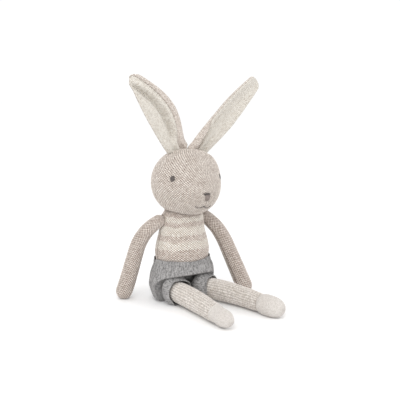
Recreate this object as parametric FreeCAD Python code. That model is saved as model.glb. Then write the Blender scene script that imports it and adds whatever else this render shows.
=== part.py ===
"""Seated knitted rabbit doll in woven shorts, built as the pieces it is sewn from.

Row frame, millimetres: +Z up, the rabbit faces -Y and its left side is +X. The origin is the
centre of the flat seat under the shorts, on the surface that the doll sits on.
Each knitted part is a skin of real thickness around its own stuffing. Limbs, neck and ears are
sewn on, so each turns about the seam that holds it, and a small gap stands for the soft seam.
"""
import FreeCAD
import Part
import math
import os

V = FreeCAD.Vector

# ---- cloth and gaps
KNIT = 1.5          # thickness of the knitted skin
CLOTH = 1.0         # thickness of the woven shorts
FILL_GAP = 0.2      # between a skin and its stuffing
WEAR_GAP = 0.4      # between the shorts and the knitted skin under them
SEAM_GAP = 0.6      # between two parts that move against each other
THREAD = 1.2        # diameter of the closing thread
STITCH_LIFT = 0.05  # embroidery stands this far off the skin
STITCH = 0.9        # thickness of the satin-stitch embroidery

# ---- torso
HIP_HALF = 41.0     # half width at the hips
WAIST_HALF = 35.0   # half width at the waist, under the shorts
BELLY_HALF = 36.4   # half width just above the shorts
CHEST_HALF = 32.6   # half width at the chest
HIP_Z = 24.0
WAIST_Z = 55.0
BELLY_RISE = 7.0    # the belly is fullest this far above the waist
CHEST_RISE = 27.0   # the chest above the waist
CHEST_Z = WAIST_Z + CHEST_RISE
DEPTH_SHARE = 0.78  # the torso's depth for each unit of its width, up to the chest
SEAT_ROUND = 9.0    # radius of the rounding between seat and sides
SEAT_TUCK = 2.5     # the seat is this much narrower than the hips, each side

# ---- neck
NECK_RISE = 14.0    # the neck's point above the chest
NECK_Z = CHEST_Z + NECK_RISE  # the head turns and nods about this point on the torso's axis
NECK_R = 29.0       # radius of the domed top of the torso
TURN_GROOVE = 1.8   # between dome and head, where the closing thread lies
NECK_SEAM_R = NECK_R - 7.0    # radius of the closing thread's ring

# ---- head
HEAD_Y = -5.0       # centre of the head from the torso's axis
HEAD_HALF_WIDTH = 43.6
HEAD_HALF_HEIGHT = 42.0
HEAD_OVER_NECK = 12.5         # the head's underside above the neck's point, before the hollow
HEAD_RISE = HEAD_HALF_HEIGHT + HEAD_OVER_NECK
HEAD_BACK = 41.0    # from the head's centre to the back
HEAD_FRONT = 50.0   # from the head's centre to the nose
MUZZLE_POWER = 1.5  # 2 gives a round face, less gives a more pointed muzzle
MUZZLE_DROP = 18.0  # degrees, the muzzle's line below level
HEAD_ROLL = 2.3     # degrees, the head leans to its left
HEAD_TURN = 4.0     # degrees, the face is turned to its left
EYE_X = 0.77 * HEAD_HALF_WIDTH
EYE_RISE = 8.5      # the eyes above the head's centre
EYE_HALF_WIDTH = 2.9
EYE_HALF_HEIGHT = 3.6
NOSE_DROP = 12.5    # the nose below the head's centre
NOSE_TOP_HALF = 5.0
NOSE_LOW_HALF = 2.4
NOSE_HALF_HEIGHT = 5.2
MOUTH_DROP = 23.0   # the mouth below the head's centre
MOUTH_R = 5.6       # radius of each of the mouth's two arcs
MOUTH_THREAD = 0.9

# ---- ears
EAR_X = 16.0        # centre of the ear's base
EAR_Y = -4.0
EAR_LIFT = 5.0      # the ear's hinge line above the head's surface
EAR_GAP = 3.8       # between head and ear, bridged by the soft pleats at the ear's root
EAR_LENGTH = 112.0
EAR_WIDTH = 40.0
EAR_BASE_WIDTH = 28.0
EAR_TIP_WIDTH = {"right": 13.0, "left": 18.0}
EAR_WIDEST = 0.42   # share of the length where the ear is widest and its hollow deepest
EAR_BOW = {"right": 4.5, "left": 4.0}        # the middle of the ear bows this far towards the head's middle
EAR_LAYER = 2.0     # thickness of each of the ear's two layers
EAR_LAYER_GAP = 0.2
EAR_CUP = 0.2       # depth of the ear's hollow for each unit of its width
EAR_BASE_CUP = 0.4  # share of that depth at the base
EAR_LEAN = {"right": 39.6, "left": 40.2}     # degrees from upright, outwards
EAR_FORWARD = {"right": 10.5, "left": 7.0}   # degrees from upright, forwards
EAR_FACE = {"right": 0.0, "left": 24.0}   # degrees the hollow is turned outwards from straight ahead

# ---- arms
ARM_R = 10.3
HAND_R = 11.0
HAND_REST = HAND_R - 0.7      # height of the hand's centre; its underside is flattened by the floor
HAND_RUN = 14.0     # length of the hand before its rounding
ARM_LENGTH = 106.0  # from the shoulder's centre to the hand's centre
SHOULDER_X = NECK_R + 6.4     # the shoulder's centre from the torso's axis
SHOULDER_RISE = 7.0 # the shoulder's centre above the neck's point
ARM_START = {"right": 37.0, "left": 43.0}  # degrees below level at the shoulder
ARM_BEND = 46.0     # length over which the arm bends
ARM_HEADING = {"right": 42.0, "left": -28.0}  # degrees the arm is turned back from straight out
ARM_GROOVE = 1.8    # between arm and torso, where the closing thread lies
ARM_SEAM_R = ARM_R - 2.9      # radius of the closing thread's ring

# ---- legs
LEG_X = 20.0        # hip centre
LEG_Y = -22.0
THIGH_R = 13.4
THIGH_RUN = 34.0    # length of the thigh before it narrows
ANKLE_R = 11.8
ANKLE_RUN = 6.0     # from the toe cap's seam back to the narrowest place
FOOT_R = 12.0
FOOT_RUN = 14.0     # length of the foot before its rounding
LEG_LENGTH = 113.0  # from the hip's centre to the centre of the toe's rounding
LEG_BEND = 60.0     # length over which the leg bends sideways
FOOT_REST = FOOT_R - 0.6      # height of the toe's centre; its underside is flattened by the floor
TOE_CAP = 24.0      # from the centre of the toe's rounding back to the toe cap's seam
LEG_HEADING_HIP = {"right": -8.0, "left": 36.0}   # degrees turned outwards from straight ahead
LEG_HEADING_TOE = {"right": 1.0, "left": 13.0}
LEG_LIFT = 20.0     # degrees that a leg can rise from the sitting pose
LEG_DROP = 90.0     # degrees that it can drop

# ---- shorts
HEM_HEIGHT = 7.0    # folded hem at the waist
SHORTS_LEG = {"right": 6.0, "left": 10.0}    # length of each leg tube from the hip's centre
SHORTS_BACK = 2.0   # the leg tube starts this far behind the hip's centre
CUFF_LOOSE = 1.6    # the leg tube's slack around the thigh

SIDES = {"right": -1.0, "left": 1.0}
RING_POINTS = 16
FAR = 400.0         # half size of a cutting box


NECK = V(0, 0, NECK_Z)
HEAD = NECK + V(0, HEAD_Y, HEAD_RISE)


# ---- rings and lofts
def ring(centre, across, up, half_width, half_height):
    """A closed elliptical wire."""
    points = []
    for k in range(RING_POINTS):
        turn = 2 * math.pi * k / RING_POINTS
        points.append(centre + across * (half_width * math.cos(turn)) + up * (half_height * math.sin(turn)))
    curve = Part.BSplineCurve()
    curve.interpolate(Points=points, PeriodicFlag=True)
    return Part.Wire(curve.toShape())


def loft(wires):
    """A closed solid through wires, of positive volume."""
    solid = Part.makeLoft(wires, True, False)
    if solid.Volume < 0:
        solid.reverse()
    return solid


def half_space(normal, point):
    """A large box that fills the side of a plane that its normal points to."""
    box = Part.makeBox(2 * FAR, 2 * FAR, FAR, V(-FAR, -FAR, 0))
    box.Placement = FreeCAD.Placement(point, FreeCAD.Rotation(V(0, 0, 1), normal))
    return box


def above(z):
    return half_space(V(0, 0, 1), V(0, 0, z))


def solid_of(shape):
    """The shape's single solid, or all its solids as a compound."""
    solids = [s for s in shape.Solids if s.Volume > 0.01]
    return solids[0] if len(solids) == 1 else Part.makeCompound(solids)


# ---- torso and shorts
def torso_solid(inset):
    """The torso grown inwards by inset (outwards where it is negative), before the lap is cut out."""
    low = CLOTH + WEAR_GAP + inset
    levels = []
    for k in range(4):
        turn = math.radians(30 * k)
        levels.append((low + SEAT_ROUND * (1 - math.sin(turn)),
                       HIP_HALF - SEAT_TUCK - inset - SEAT_ROUND * (1 - math.cos(turn))))
    levels.sort()
    levels += [(HIP_Z, HIP_HALF - inset), (WAIST_Z - HEM_HEIGHT / 2, WAIST_HALF - inset),
               (WAIST_Z + BELLY_RISE, BELLY_HALF - inset), (CHEST_Z, CHEST_HALF - inset)]
    wires = [ring(V(0, 0, z), V(1, 0, 0), V(0, 1, 0), half, half * DEPTH_SHARE) for z, half in levels]
    dome = NECK_R - inset
    for rise in (0, 22, 42, 60, 74, 86):
        turn = math.radians(rise)
        half = dome * math.cos(turn)
        depth = half * (DEPTH_SHARE + (1 - DEPTH_SHARE) * min(rise / 42, 1))
        wires.append(ring(V(0, 0, NECK_Z + dome * math.sin(turn)), V(1, 0, 0), V(0, 1, 0), half, depth))
    return loft(wires)


def hip_centre(side):
    return V(SIDES[side] * LEG_X, LEG_Y, THIGH_R + CUFF_LOOSE + CLOTH)


def lap_cutter(grow):
    """What the two legs sweep between their limits, as one cutter across the torso."""
    hip = hip_centre("right")
    reach = THIGH_R + CUFF_LOOSE + CLOTH + SEAM_GAP + grow
    lift, drop = math.radians(LEG_LIFT), math.radians(-LEG_DROP)

    def spot(along, turn, offset):
        """A point in the YZ plane, along a leg raised by turn and offset above its line."""
        return V(-FAR, hip.y - along * math.cos(turn) + offset * math.sin(turn),
                 hip.z + along * math.sin(turn) + offset * math.cos(turn))

    far = 2 * HIP_HALF
    corners = [spot(0, lift, reach), spot(far, lift, reach), spot(far, drop, reach),
               spot(far, drop, -reach), spot(0, drop, -reach)]
    wedge = Part.Face(Part.makePolygon(corners + corners[:1])).extrude(V(2 * FAR, 0, 0))
    round_hip = Part.makeCylinder(reach, 2 * FAR, V(-FAR, hip.y, hip.z), V(1, 0, 0))
    return wedge.fuse(round_hip)


def torso_body(inset):
    """The torso with its lap cut out for the legs and a shallow socket for each arm."""
    body = torso_solid(inset).cut(lap_cutter(CLOTH + WEAR_GAP + inset))
    for side in SIDES:
        body = body.cut(Part.makeSphere(ARM_R + ARM_GROOVE + inset, shoulder_centre(side)))
    return body


def torso_pieces():
    skin_out = torso_body(0)
    skin_in = torso_body(KNIT)
    fill = torso_body(KNIT + FILL_GAP)
    skin = skin_out.cut(skin_in)
    front = half_space(V(0, -1, 0), V(0, 0, 0))
    shorts_out = torso_solid(-WEAR_GAP - CLOTH).cut(lap_cutter(0))
    shorts_in = torso_solid(-WEAR_GAP).cut(lap_cutter(CLOTH))
    shorts = shorts_out.cut(shorts_in).cut(above(WAIST_Z))
    hem_out = torso_solid(-WEAR_GAP - 2 * CLOTH - STITCH_LIFT)
    hem_in = torso_solid(-WEAR_GAP - CLOTH - STITCH_LIFT)
    hem = hem_out.cut(hem_in).common(above(WAIST_Z - HEM_HEIGHT)).cut(above(WAIST_Z))
    left_half = half_space(V(1, 0, 0), V(0, 0, 0))
    return {
        "torso_front_panel": skin.common(front),
        "torso_back_panel": skin.cut(front),
        "torso_stuffing": fill,
        "shorts_left_panel": shorts.common(left_half),
        "shorts_right_panel": shorts.cut(left_half),
        "shorts_waist_hem": hem,
    }


# ---- head
def rolled(shape):
    """Leans a head piece to the rabbit's left about the neck."""
    copy = shape.copy()
    copy.rotate(NECK, V(0, 1, 0), HEAD_ROLL)
    return copy


def faced(shape):
    """Turns a piece of the face and its panels to the rabbit's left, then leans it."""
    copy = shape.copy()
    copy.rotate(HEAD, V(0, 0, 1), HEAD_TURN)
    return rolled(copy)


def rolled_point(point):
    return NECK + FreeCAD.Rotation(V(0, 1, 0), HEAD_ROLL).multVec(point - NECK)


def head_axis():
    drop = math.radians(MUZZLE_DROP)
    return V(0, -math.cos(drop), -math.sin(drop))


def head_solid(inset):
    """The egg-shaped head, blunt at the back and fuller towards the muzzle."""
    forward = head_axis()
    up = V(1, 0, 0).cross(forward)
    if up.z < 0:
        up = up * -1
    wires = []
    for share in (-0.995, -0.93, -0.78, -0.5, -0.2, 0.1, 0.38, 0.62, 0.8, 0.92, 0.985):
        reach = (HEAD_FRONT if share > 0 else HEAD_BACK) - inset
        power = MUZZLE_POWER if share > 0 else 2.0
        full = (1 - abs(share) ** power) ** 0.5
        wires.append(ring(HEAD + forward * (share * reach), V(1, 0, 0), up,
                          (HEAD_HALF_WIDTH - inset) * full, (HEAD_HALF_HEIGHT - inset) * full))
    return loft(wires)


def on_head(x, z):
    """The point of the face in front of a place given across and up."""
    face = head_solid(0)
    ray = Part.makeLine(V(x, HEAD.y - 2 * HEAD_FRONT, z), V(x, HEAD.y, z))
    return face.common(ray).Vertexes[0].Point


def oval_prism(centre, direction, half_width, half_height):
    across = V(0, 0, 1).cross(direction).normalize()
    up = direction.cross(across).normalize()
    face = Part.Face(ring(centre - direction * 6, across, up, half_width, half_height))
    return face.extrude(direction * 12)


def nose_prism():
    """A shield that narrows downwards, drawn in the face's plane and run through the muzzle."""
    y = HEAD.y - HEAD_FRONT - 10
    top = HEAD.z - NOSE_DROP + NOSE_HALF_HEIGHT
    low = HEAD.z - NOSE_DROP - NOSE_HALF_HEIGHT
    top_left, top_right = V(-NOSE_TOP_HALF, y, top), V(NOSE_TOP_HALF, y, top)
    low_left, low_right = V(-NOSE_LOW_HALF, y, low), V(NOSE_LOW_HALF, y, low)
    edges = [
        Part.Arc(top_left, V(0, y, top + 0.8), top_right).toShape(),
        Part.makeLine(top_right, low_right),
        Part.Arc(low_right, V(0, y, low - 1.0), low_left).toShape(),
        Part.makeLine(low_left, top_left),
    ]
    return Part.Face(Part.Wire(edges)).extrude(V(0, 40, 0))


def mouth_prism():
    """Two hanging arcs side by side."""
    y = HEAD.y - HEAD_FRONT - 10
    level = HEAD.z - MOUTH_DROP
    arcs = []
    for sign in (-1, 1):
        centre = V(sign * MOUTH_R, y, level)
        outer = Part.makeCylinder(MOUTH_R + MOUTH_THREAD / 2, 45, centre, V(0, 1, 0))
        inner = Part.makeCylinder(MOUTH_R - MOUTH_THREAD / 2, 45, centre, V(0, 1, 0))
        arcs.append(outer.cut(inner).cut(above(level)))
    return arcs[0].fuse(arcs[1])


def head_pieces():
    groove = NECK_R + TURN_GROOVE
    neck = HEAD + FreeCAD.Rotation(V(0, 0, 1), -HEAD_TURN).multVec(NECK - HEAD)
    outside = head_solid(0).cut(Part.makeSphere(groove, neck))
    inside = head_solid(KNIT).cut(Part.makeSphere(groove + KNIT, neck))
    fill = head_solid(KNIT + FILL_GAP).cut(Part.makeSphere(groove + KNIT + FILL_GAP, neck))
    skin = outside.cut(inside)
    left_half = half_space(V(1, 0, 0), V(0, 0, 0))
    stitched = head_solid(-STITCH_LIFT - STITCH).cut(head_solid(-STITCH_LIFT))
    pieces = {
        "head_left_panel": skin.common(left_half),
        "head_right_panel": skin.cut(left_half),
        "head_stuffing": fill,
        "nose_embroidery": stitched.common(nose_prism()),
        "mouth_embroidery": stitched.common(mouth_prism()),
    }
    for side, sign in SIDES.items():
        centre = on_head(sign * EYE_X, HEAD.z + EYE_RISE)
        outwards = (centre - HEAD).normalize()
        pieces[side + "_eye_embroidery"] = stitched.common(
            oval_prism(centre, outwards, EYE_HALF_WIDTH, EYE_HALF_HEIGHT))
    return {name: faced(shape) for name, shape in pieces.items()}


def neck_pieces():
    """The thread that closes the neck, lying in the groove between dome and head."""
    radius = NECK_R + TURN_GROOVE / 2
    rise = (radius ** 2 - NECK_SEAM_R ** 2) ** 0.5
    thread = Part.makeTorus(NECK_SEAM_R, THREAD / 2, NECK + V(0, 0, rise), V(0, 0, 1))
    return {"neck_seam_thread": thread}


# ---- ears
def ear_base(side):
    """The middle of the ear's hinge line, before the head's lean."""
    x = SIDES[side] * EAR_X
    share = 1 - (x / HEAD_HALF_WIDTH) ** 2
    return V(x, EAR_Y, HEAD.z + HEAD_HALF_HEIGHT * share ** 0.5 + EAR_LIFT)


def ear_axes(side):
    """Along the ear, across it, and out of its hollow."""
    lean, forward = math.radians(EAR_LEAN[side]), math.radians(EAR_FORWARD[side])
    level = math.cos(forward)
    along = V(SIDES[side] * math.sin(lean) * level, -math.sin(forward), math.cos(lean) * level)
    ahead = (V(0, -1, 0) - along * math.sin(forward)).normalize()
    turn = FreeCAD.Rotation(along, SIDES[side] * EAR_FACE[side])
    hollow = turn.multVec(ahead)
    return along, along.cross(hollow), hollow


def ear_half_width(side, share):
    """Half the ear's width at a share of its length: narrow base, full middle, narrow round tip."""
    if share < EAR_WIDEST:
        rise = math.sin(math.pi / 2 * max(share, 0) / EAR_WIDEST)
        return (EAR_BASE_WIDTH + (EAR_WIDTH - EAR_BASE_WIDTH) * rise) / 2
    fall = 1 - math.cos(math.pi / 2 * (share - EAR_WIDEST) / (1 - EAR_WIDEST))
    return (EAR_WIDTH - (EAR_WIDTH - EAR_TIP_WIDTH[side]) * fall) / 2


def ear_band(side, share, near, far):
    """The cross-section of one layer: a curved band between two depths behind the hollow."""
    along, across, hollow = ear_axes(side)
    bow = -SIDES[side] * EAR_BOW[side] * math.sin(math.pi * min(max(share, 0), 1))
    centre = ear_base(side) + along * (share * EAR_LENGTH) + across * bow
    half = ear_half_width(side, share)
    fullness = EAR_BASE_CUP + (1 - EAR_BASE_CUP) * min(max(share / EAR_WIDEST, 0), 1)
    cup = 2 * half * EAR_CUP * fullness

    def spot(x, depth):
        return centre + across * x + hollow * (cup * (x / half) ** 2 - depth)

    edges = [
        Part.Arc(spot(-half, near), spot(0, near), spot(half, near)).toShape(),
        Part.makeLine(spot(half, near), spot(half, far)),
        Part.Arc(spot(half, far), spot(0, far), spot(-half, far)).toShape(),
        Part.makeLine(spot(-half, far), spot(-half, near)),
    ]
    return Part.Wire(edges)


def ear_pieces(side):
    depths = {"front_layer": (-EAR_LAYER - EAR_LAYER_GAP / 2, -EAR_LAYER_GAP / 2),
              "back_layer": (EAR_LAYER_GAP / 2, EAR_LAYER + EAR_LAYER_GAP / 2)}
    shares = (-0.1, 0.0, 0.14, 0.28, 0.42, 0.6, 0.78, 0.92, 1.0)
    clear_of_head = head_solid(-EAR_GAP)
    pieces = {}
    for layer, (near, far) in depths.items():
        shape = loft([ear_band(side, share, near, far) for share in shares]).cut(clear_of_head)
        pieces[side + "_ear_" + layer] = rolled(shape)
    return pieces


# ---- arms
def shoulder_centre(side):
    return NECK + V(SIDES[side] * SHOULDER_X, 0, SHOULDER_RISE)


def bent_line(start, end, bend, along):
    """Distance ahead and aside, and the angle, along a line that bends from one angle to another.

    Angles are in radians and are measured from ahead towards aside.
    """
    radius = bend / (end - start)
    angle = start + (end - start) * min(max(along, 0), bend) / bend
    straight = along - bend if along > bend else min(along, 0)
    ahead = radius * (math.sin(angle) - math.sin(start)) + straight * math.cos(angle)
    aside = radius * (math.cos(start) - math.cos(angle)) + straight * math.sin(angle)
    return ahead, aside, angle


def arm_end_angle(side):
    """The angle below level at the hand that lets the hand rest on the floor."""
    start = math.radians(ARM_START[side])
    drop = shoulder_centre(side).z - HAND_REST
    low, high = start + 0.01, math.radians(88)
    for _ in range(40):
        middle = (low + high) / 2
        if bent_line(start, middle, ARM_BEND, ARM_LENGTH)[1] < drop:
            low = middle
        else:
            high = middle
    return low


def arm_line(side, along):
    """Centre and direction of the arm at a length from the shoulder's centre."""
    out, down, angle = bent_line(math.radians(ARM_START[side]), arm_end_angle(side), ARM_BEND, along)
    heading = math.radians(ARM_HEADING[side])
    level = V(SIDES[side] * math.cos(heading), math.sin(heading), 0)
    centre = shoulder_centre(side) + level * out - V(0, 0, down)
    return centre, (level * math.cos(angle) - V(0, 0, math.sin(angle))).normalize()


def round_ended(stations, inset):
    """Lengths and radii of a limb with round ends: its own stations between two quarter circles."""
    (first, first_r), (last, last_r) = stations[0], stations[-1]
    caps = [math.radians(a) for a in (80, 58, 36, 16)]
    start = [(first - (first_r - inset) * math.sin(a), (first_r - inset) * math.cos(a)) for a in caps]
    end = [(last + (last_r - inset) * math.sin(a), (last_r - inset) * math.cos(a)) for a in reversed(caps)]
    return start + [(s, r - inset) for s, r in stations] + end


def limb(line, stations, inset):
    wires = []
    for along, radius in round_ended(stations, inset):
        centre, ahead = line(along)
        across = V(0, 0, 1).cross(ahead).normalize()
        wires.append(ring(centre, across, ahead.cross(across), radius, radius))
    return loft(wires)


def arm_pieces(side):
    stations = [(0, ARM_R), (ARM_BEND, ARM_R), (ARM_LENGTH - HAND_RUN, HAND_R), (ARM_LENGTH, HAND_R)]

    def line(along):
        return arm_line(side, along)

    outside = limb(line, stations, 0).common(above(0))
    inside = limb(line, stations, KNIT).common(above(KNIT))
    fill = limb(line, stations, KNIT + FILL_GAP).common(above(KNIT + FILL_GAP))
    return {side + "_arm_skin": outside.cut(inside), side + "_arm_stuffing": fill}


def arm_seam_pieces(side):
    """The ring of closing thread between the torso and the arm."""
    radius = ARM_R + ARM_GROOVE / 2
    inwards = SIDES[side] * (radius ** 2 - ARM_SEAM_R ** 2) ** 0.5
    centre = shoulder_centre(side) - V(inwards, 0, 0)
    return {side + "_arm_seam_thread": Part.makeTorus(ARM_SEAM_R, THREAD / 2, centre, V(1, 0, 0))}


# ---- legs
def leg_line(side, along):
    """Centre and direction of the leg at a length from the hip's centre. The toe rests on the floor."""
    hip = hip_centre(side)
    start, end = math.radians(LEG_HEADING_HIP[side]), math.radians(LEG_HEADING_TOE[side])
    out, aside, angle = bent_line(start, end, LEG_BEND, along)
    fall = (hip.z - FOOT_REST) / LEG_LENGTH
    centre = hip + V(SIDES[side] * aside, -out, -fall * along)
    return centre, V(SIDES[side] * math.sin(angle), -math.cos(angle), -fall).normalize()


def leg_pieces(side):
    stations = [(0, THIGH_R), (THIGH_RUN, THIGH_R), (LEG_LENGTH - TOE_CAP - ANKLE_RUN, ANKLE_R),
                (LEG_LENGTH - FOOT_RUN, FOOT_R), (LEG_LENGTH, FOOT_R)]

    def line(along):
        return leg_line(side, along)

    outside = limb(line, stations, 0).common(above(0))
    inside = limb(line, stations, KNIT).common(above(KNIT))
    fill = limb(line, stations, KNIT + FILL_GAP).common(above(KNIT + FILL_GAP))
    skin = outside.cut(inside)
    seam_at, ahead = line(LEG_LENGTH - TOE_CAP)
    toe_side = half_space(ahead, seam_at)
    slack = CUFF_LOOSE
    tube_out = limb(line, stations, -slack - CLOTH)
    tube_in = limb(line, stations, -slack)
    cuff_at, cuff_ahead = line(SHORTS_LEG[side])
    back_at, back_ahead = line(-SHORTS_BACK)
    tube = tube_out.cut(tube_in).cut(half_space(cuff_ahead, cuff_at)).common(half_space(back_ahead, back_at))
    return {
        side + "_leg_skin": skin.cut(toe_side),
        side + "_toe_cap": skin.common(toe_side),
        side + "_leg_stuffing": fill,
        side + "_shorts_leg": tube.common(above(0)),
    }


def all_pieces():
    pieces = {}
    for group in (torso_pieces(), neck_pieces(), head_pieces()):
        pieces.update(group)
    for side in SIDES:
        for make in (ear_pieces, arm_pieces, arm_seam_pieces, leg_pieces):
            pieces.update(make(side))
    return pieces


def main():
    os.makedirs("parts", exist_ok=True)
    for name, shape in sorted(all_pieces().items()):
        solid = solid_of(shape)
        solid.exportStep(os.path.join("parts", name + ".step"))
        print(f"{name:26s} solids {len(solid.Solids)}  valid {solid.isValid()}  volume {solid.Volume:10.1f}")
    for side in SIDES:
        across = ear_axes(side)[1]
        print(side, "shoulder", shoulder_centre(side), "hip", hip_centre(side),
              "ear hinge", rolled_point(ear_base(side)), "about", rolled_point(NECK + across) - NECK)


main()
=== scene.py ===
"""Knitted rabbit doll in woven shorts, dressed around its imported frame.

Row frame in metres: +Z up, the rabbit faces -Y and its left side is +X. Sizes in the classes are
in millimetres, as a doll maker writes them, and become metres when a mesh gets its points.
"""
import logging
import math
from dataclasses import dataclass, field
from enum import Enum
from typing import Callable

import bpy
import numpy as np
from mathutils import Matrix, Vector
from mathutils.bvhtree import BVHTree


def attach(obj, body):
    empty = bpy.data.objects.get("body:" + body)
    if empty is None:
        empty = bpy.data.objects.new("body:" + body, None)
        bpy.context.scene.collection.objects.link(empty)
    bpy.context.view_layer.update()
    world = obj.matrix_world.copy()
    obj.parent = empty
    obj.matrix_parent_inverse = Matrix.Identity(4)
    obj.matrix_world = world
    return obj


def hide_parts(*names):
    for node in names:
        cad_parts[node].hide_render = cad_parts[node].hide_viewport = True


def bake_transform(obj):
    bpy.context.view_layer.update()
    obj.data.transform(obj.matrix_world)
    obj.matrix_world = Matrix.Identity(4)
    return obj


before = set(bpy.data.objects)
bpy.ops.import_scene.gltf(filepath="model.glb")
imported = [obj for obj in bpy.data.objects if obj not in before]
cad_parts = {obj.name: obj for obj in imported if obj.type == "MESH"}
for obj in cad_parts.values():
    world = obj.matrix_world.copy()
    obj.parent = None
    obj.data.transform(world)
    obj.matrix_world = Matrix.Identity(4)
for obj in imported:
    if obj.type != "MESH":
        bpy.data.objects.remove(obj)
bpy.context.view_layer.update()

MM = 0.001
Rgb = tuple[float, float, float]
Points = np.ndarray
log = logging.getLogger("rabbit")


class Side(Enum):
    """The rabbit's own right or left; the value is the direction along X."""

    RIGHT = -1
    LEFT = 1

    @property
    def word(self) -> str:
        """The side's name as the frame's nodes and bodies have it."""
        return self.name.lower()


class Stitch(Enum):
    """The knitted or woven patterns used on the doll."""

    MOSS = "moss"
    RIB = "rib"
    ROWS = "rows"
    PLAIN = "plain"


def srgb(red: int, green: int, blue: int) -> Rgb:
    """A display colour of 0 to 255 as linear light."""
    def line(c: float) -> float:
        """One channel."""
        return c / 12.92 if c <= 0.04045 else ((c + 0.055) / 1.055) ** 2.4
    return tuple(line(c / 255) for c in (red, green, blue))


# ---------------------------------------------------------------- the workbench
def unit(v: Points) -> Points:
    """Vectors made one long."""
    v = np.asarray(v, float)
    return v / np.maximum(np.linalg.norm(v, axis=-1, keepdims=True), 1e-12)


def smoothstep(low: float, high: float, x: Points) -> Points:
    """0 before low, 1 after high and a soft ramp between."""
    t = np.clip((np.asarray(x, float) - low) / (high - low), 0, 1)
    return t * t * (3 - 2 * t)


def bump(x: Points, centre: float, width: float) -> Points:
    """A soft round ridge, 1 at its centre and nearly 0 two widths away."""
    return np.exp(-(((x - centre) / width) ** 2))


def spline(knots: list[tuple[float, ...]], count: int) -> Points:
    """A smooth line through knots, with count points evenly spaced along it."""
    p = np.array(knots, float)
    p = np.vstack([2 * p[0] - p[1], p, 2 * p[-1] - p[-2]])
    t = np.linspace(0, 1, 24, endpoint=False)[:, None]
    runs = []
    for a, b, c, d in zip(p[:-3], p[1:-2], p[2:-1], p[3:]):
        runs.append(0.5 * (2 * b + (c - a) * t + (2 * a - 5 * b + 4 * c - d) * t ** 2
                           + (3 * b - a - 3 * c + d) * t ** 3))
    dense = np.vstack(runs + [p[-2][None]])
    arc = np.concatenate([[0], np.cumsum(np.linalg.norm(np.diff(dense, axis=0), axis=1))])
    at = np.linspace(0, arc[-1], count)
    return np.stack([np.interp(at, arc, dense[:, k]) for k in range(dense.shape[1])], axis=1)


def points_of(obj: bpy.types.Object) -> Points:
    """A mesh object's points, in millimetres."""
    co = np.empty(len(obj.data.vertices) * 3, np.float32)
    obj.data.vertices.foreach_get("co", co)
    return co.reshape(-1, 3).astype(float) / MM


def place_points(obj: bpy.types.Object, co: Points) -> None:
    """Puts a mesh object's points at places given in millimetres."""
    obj.data.vertices.foreach_set("co", (co * MM).astype(np.float32).ravel())
    obj.data.update()


def normals_of(obj: bpy.types.Object) -> Points:
    """A mesh object's smooth point normals."""
    out = np.empty(len(obj.data.vertices) * 3, np.float32)
    obj.data.vertex_normals.foreach_get("vector", out)
    return out.reshape(-1, 3).astype(float)


def note(obj: bpy.types.Object, name: str, values: Points) -> None:
    """Stores one number for each point as an attribute."""
    layer = obj.data.attributes.get(name) or obj.data.attributes.new(name, "FLOAT", "POINT")
    layer.data.foreach_set("value", np.asarray(values, np.float32))


def noted(obj: bpy.types.Object, name: str) -> Points:
    """Reads back what note stored."""
    out = np.empty(len(obj.data.vertices), np.float32)
    obj.data.attributes[name].data.foreach_get("value", out)
    return out.astype(float)


def only(obj: bpy.types.Object) -> None:
    """Selects one object and makes it the active one."""
    bpy.ops.object.select_all(action="DESELECT")
    obj.select_set(True)
    bpy.context.view_layer.objects.active = obj


def apply(obj: bpy.types.Object, kind: str, **settings: object) -> None:
    """Adds a modifier with its settings and applies it."""
    only(obj)
    modifier = obj.modifiers.new(kind.lower(), kind)
    for name, value in settings.items():
        setattr(modifier, name, value)
    bpy.ops.object.modifier_apply(modifier=modifier.name)


def ball(name: str, segments: int, rings: int) -> bpy.types.Object:
    """A unit ball whose rings run round Z, the start of every piece that closes at two poles."""
    bpy.ops.object.select_all(action="DESELECT")
    bpy.ops.mesh.primitive_uv_sphere_add(segments=segments, ring_count=rings, radius=1)
    obj = bpy.context.object
    obj.name = obj.data.name = name
    bpy.ops.object.shade_smooth()
    return obj


def ball_places(obj: bpy.types.Object) -> tuple[Points, Points]:
    """Each point's turn round the ball in radians, and its share from the low pole to the high one."""
    co = points_of(obj) * MM
    turn = np.arctan2(co[:, 1], co[:, 0])
    return turn, 1 - np.arccos(np.clip(co[:, 2], -1, 1)) / math.pi


def block_ball(name: str, cuts: int) -> bpy.types.Object:
    """A unit ball of even squares, made from a subdivided cube."""
    bpy.ops.object.select_all(action="DESELECT")
    bpy.ops.mesh.primitive_cube_add(size=2)
    obj = bpy.context.object
    obj.name = obj.data.name = name
    bpy.ops.object.mode_set(mode="EDIT")
    bpy.ops.mesh.select_all(action="SELECT")
    bpy.ops.mesh.subdivide(number_cuts=cuts)
    bpy.ops.object.mode_set(mode="OBJECT")
    bpy.ops.object.shade_smooth()
    co = points_of(obj) * MM
    obj.data.vertices.foreach_set("co", unit(np.tan(co * math.pi / 4)).astype(np.float32).ravel())
    return obj


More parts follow.
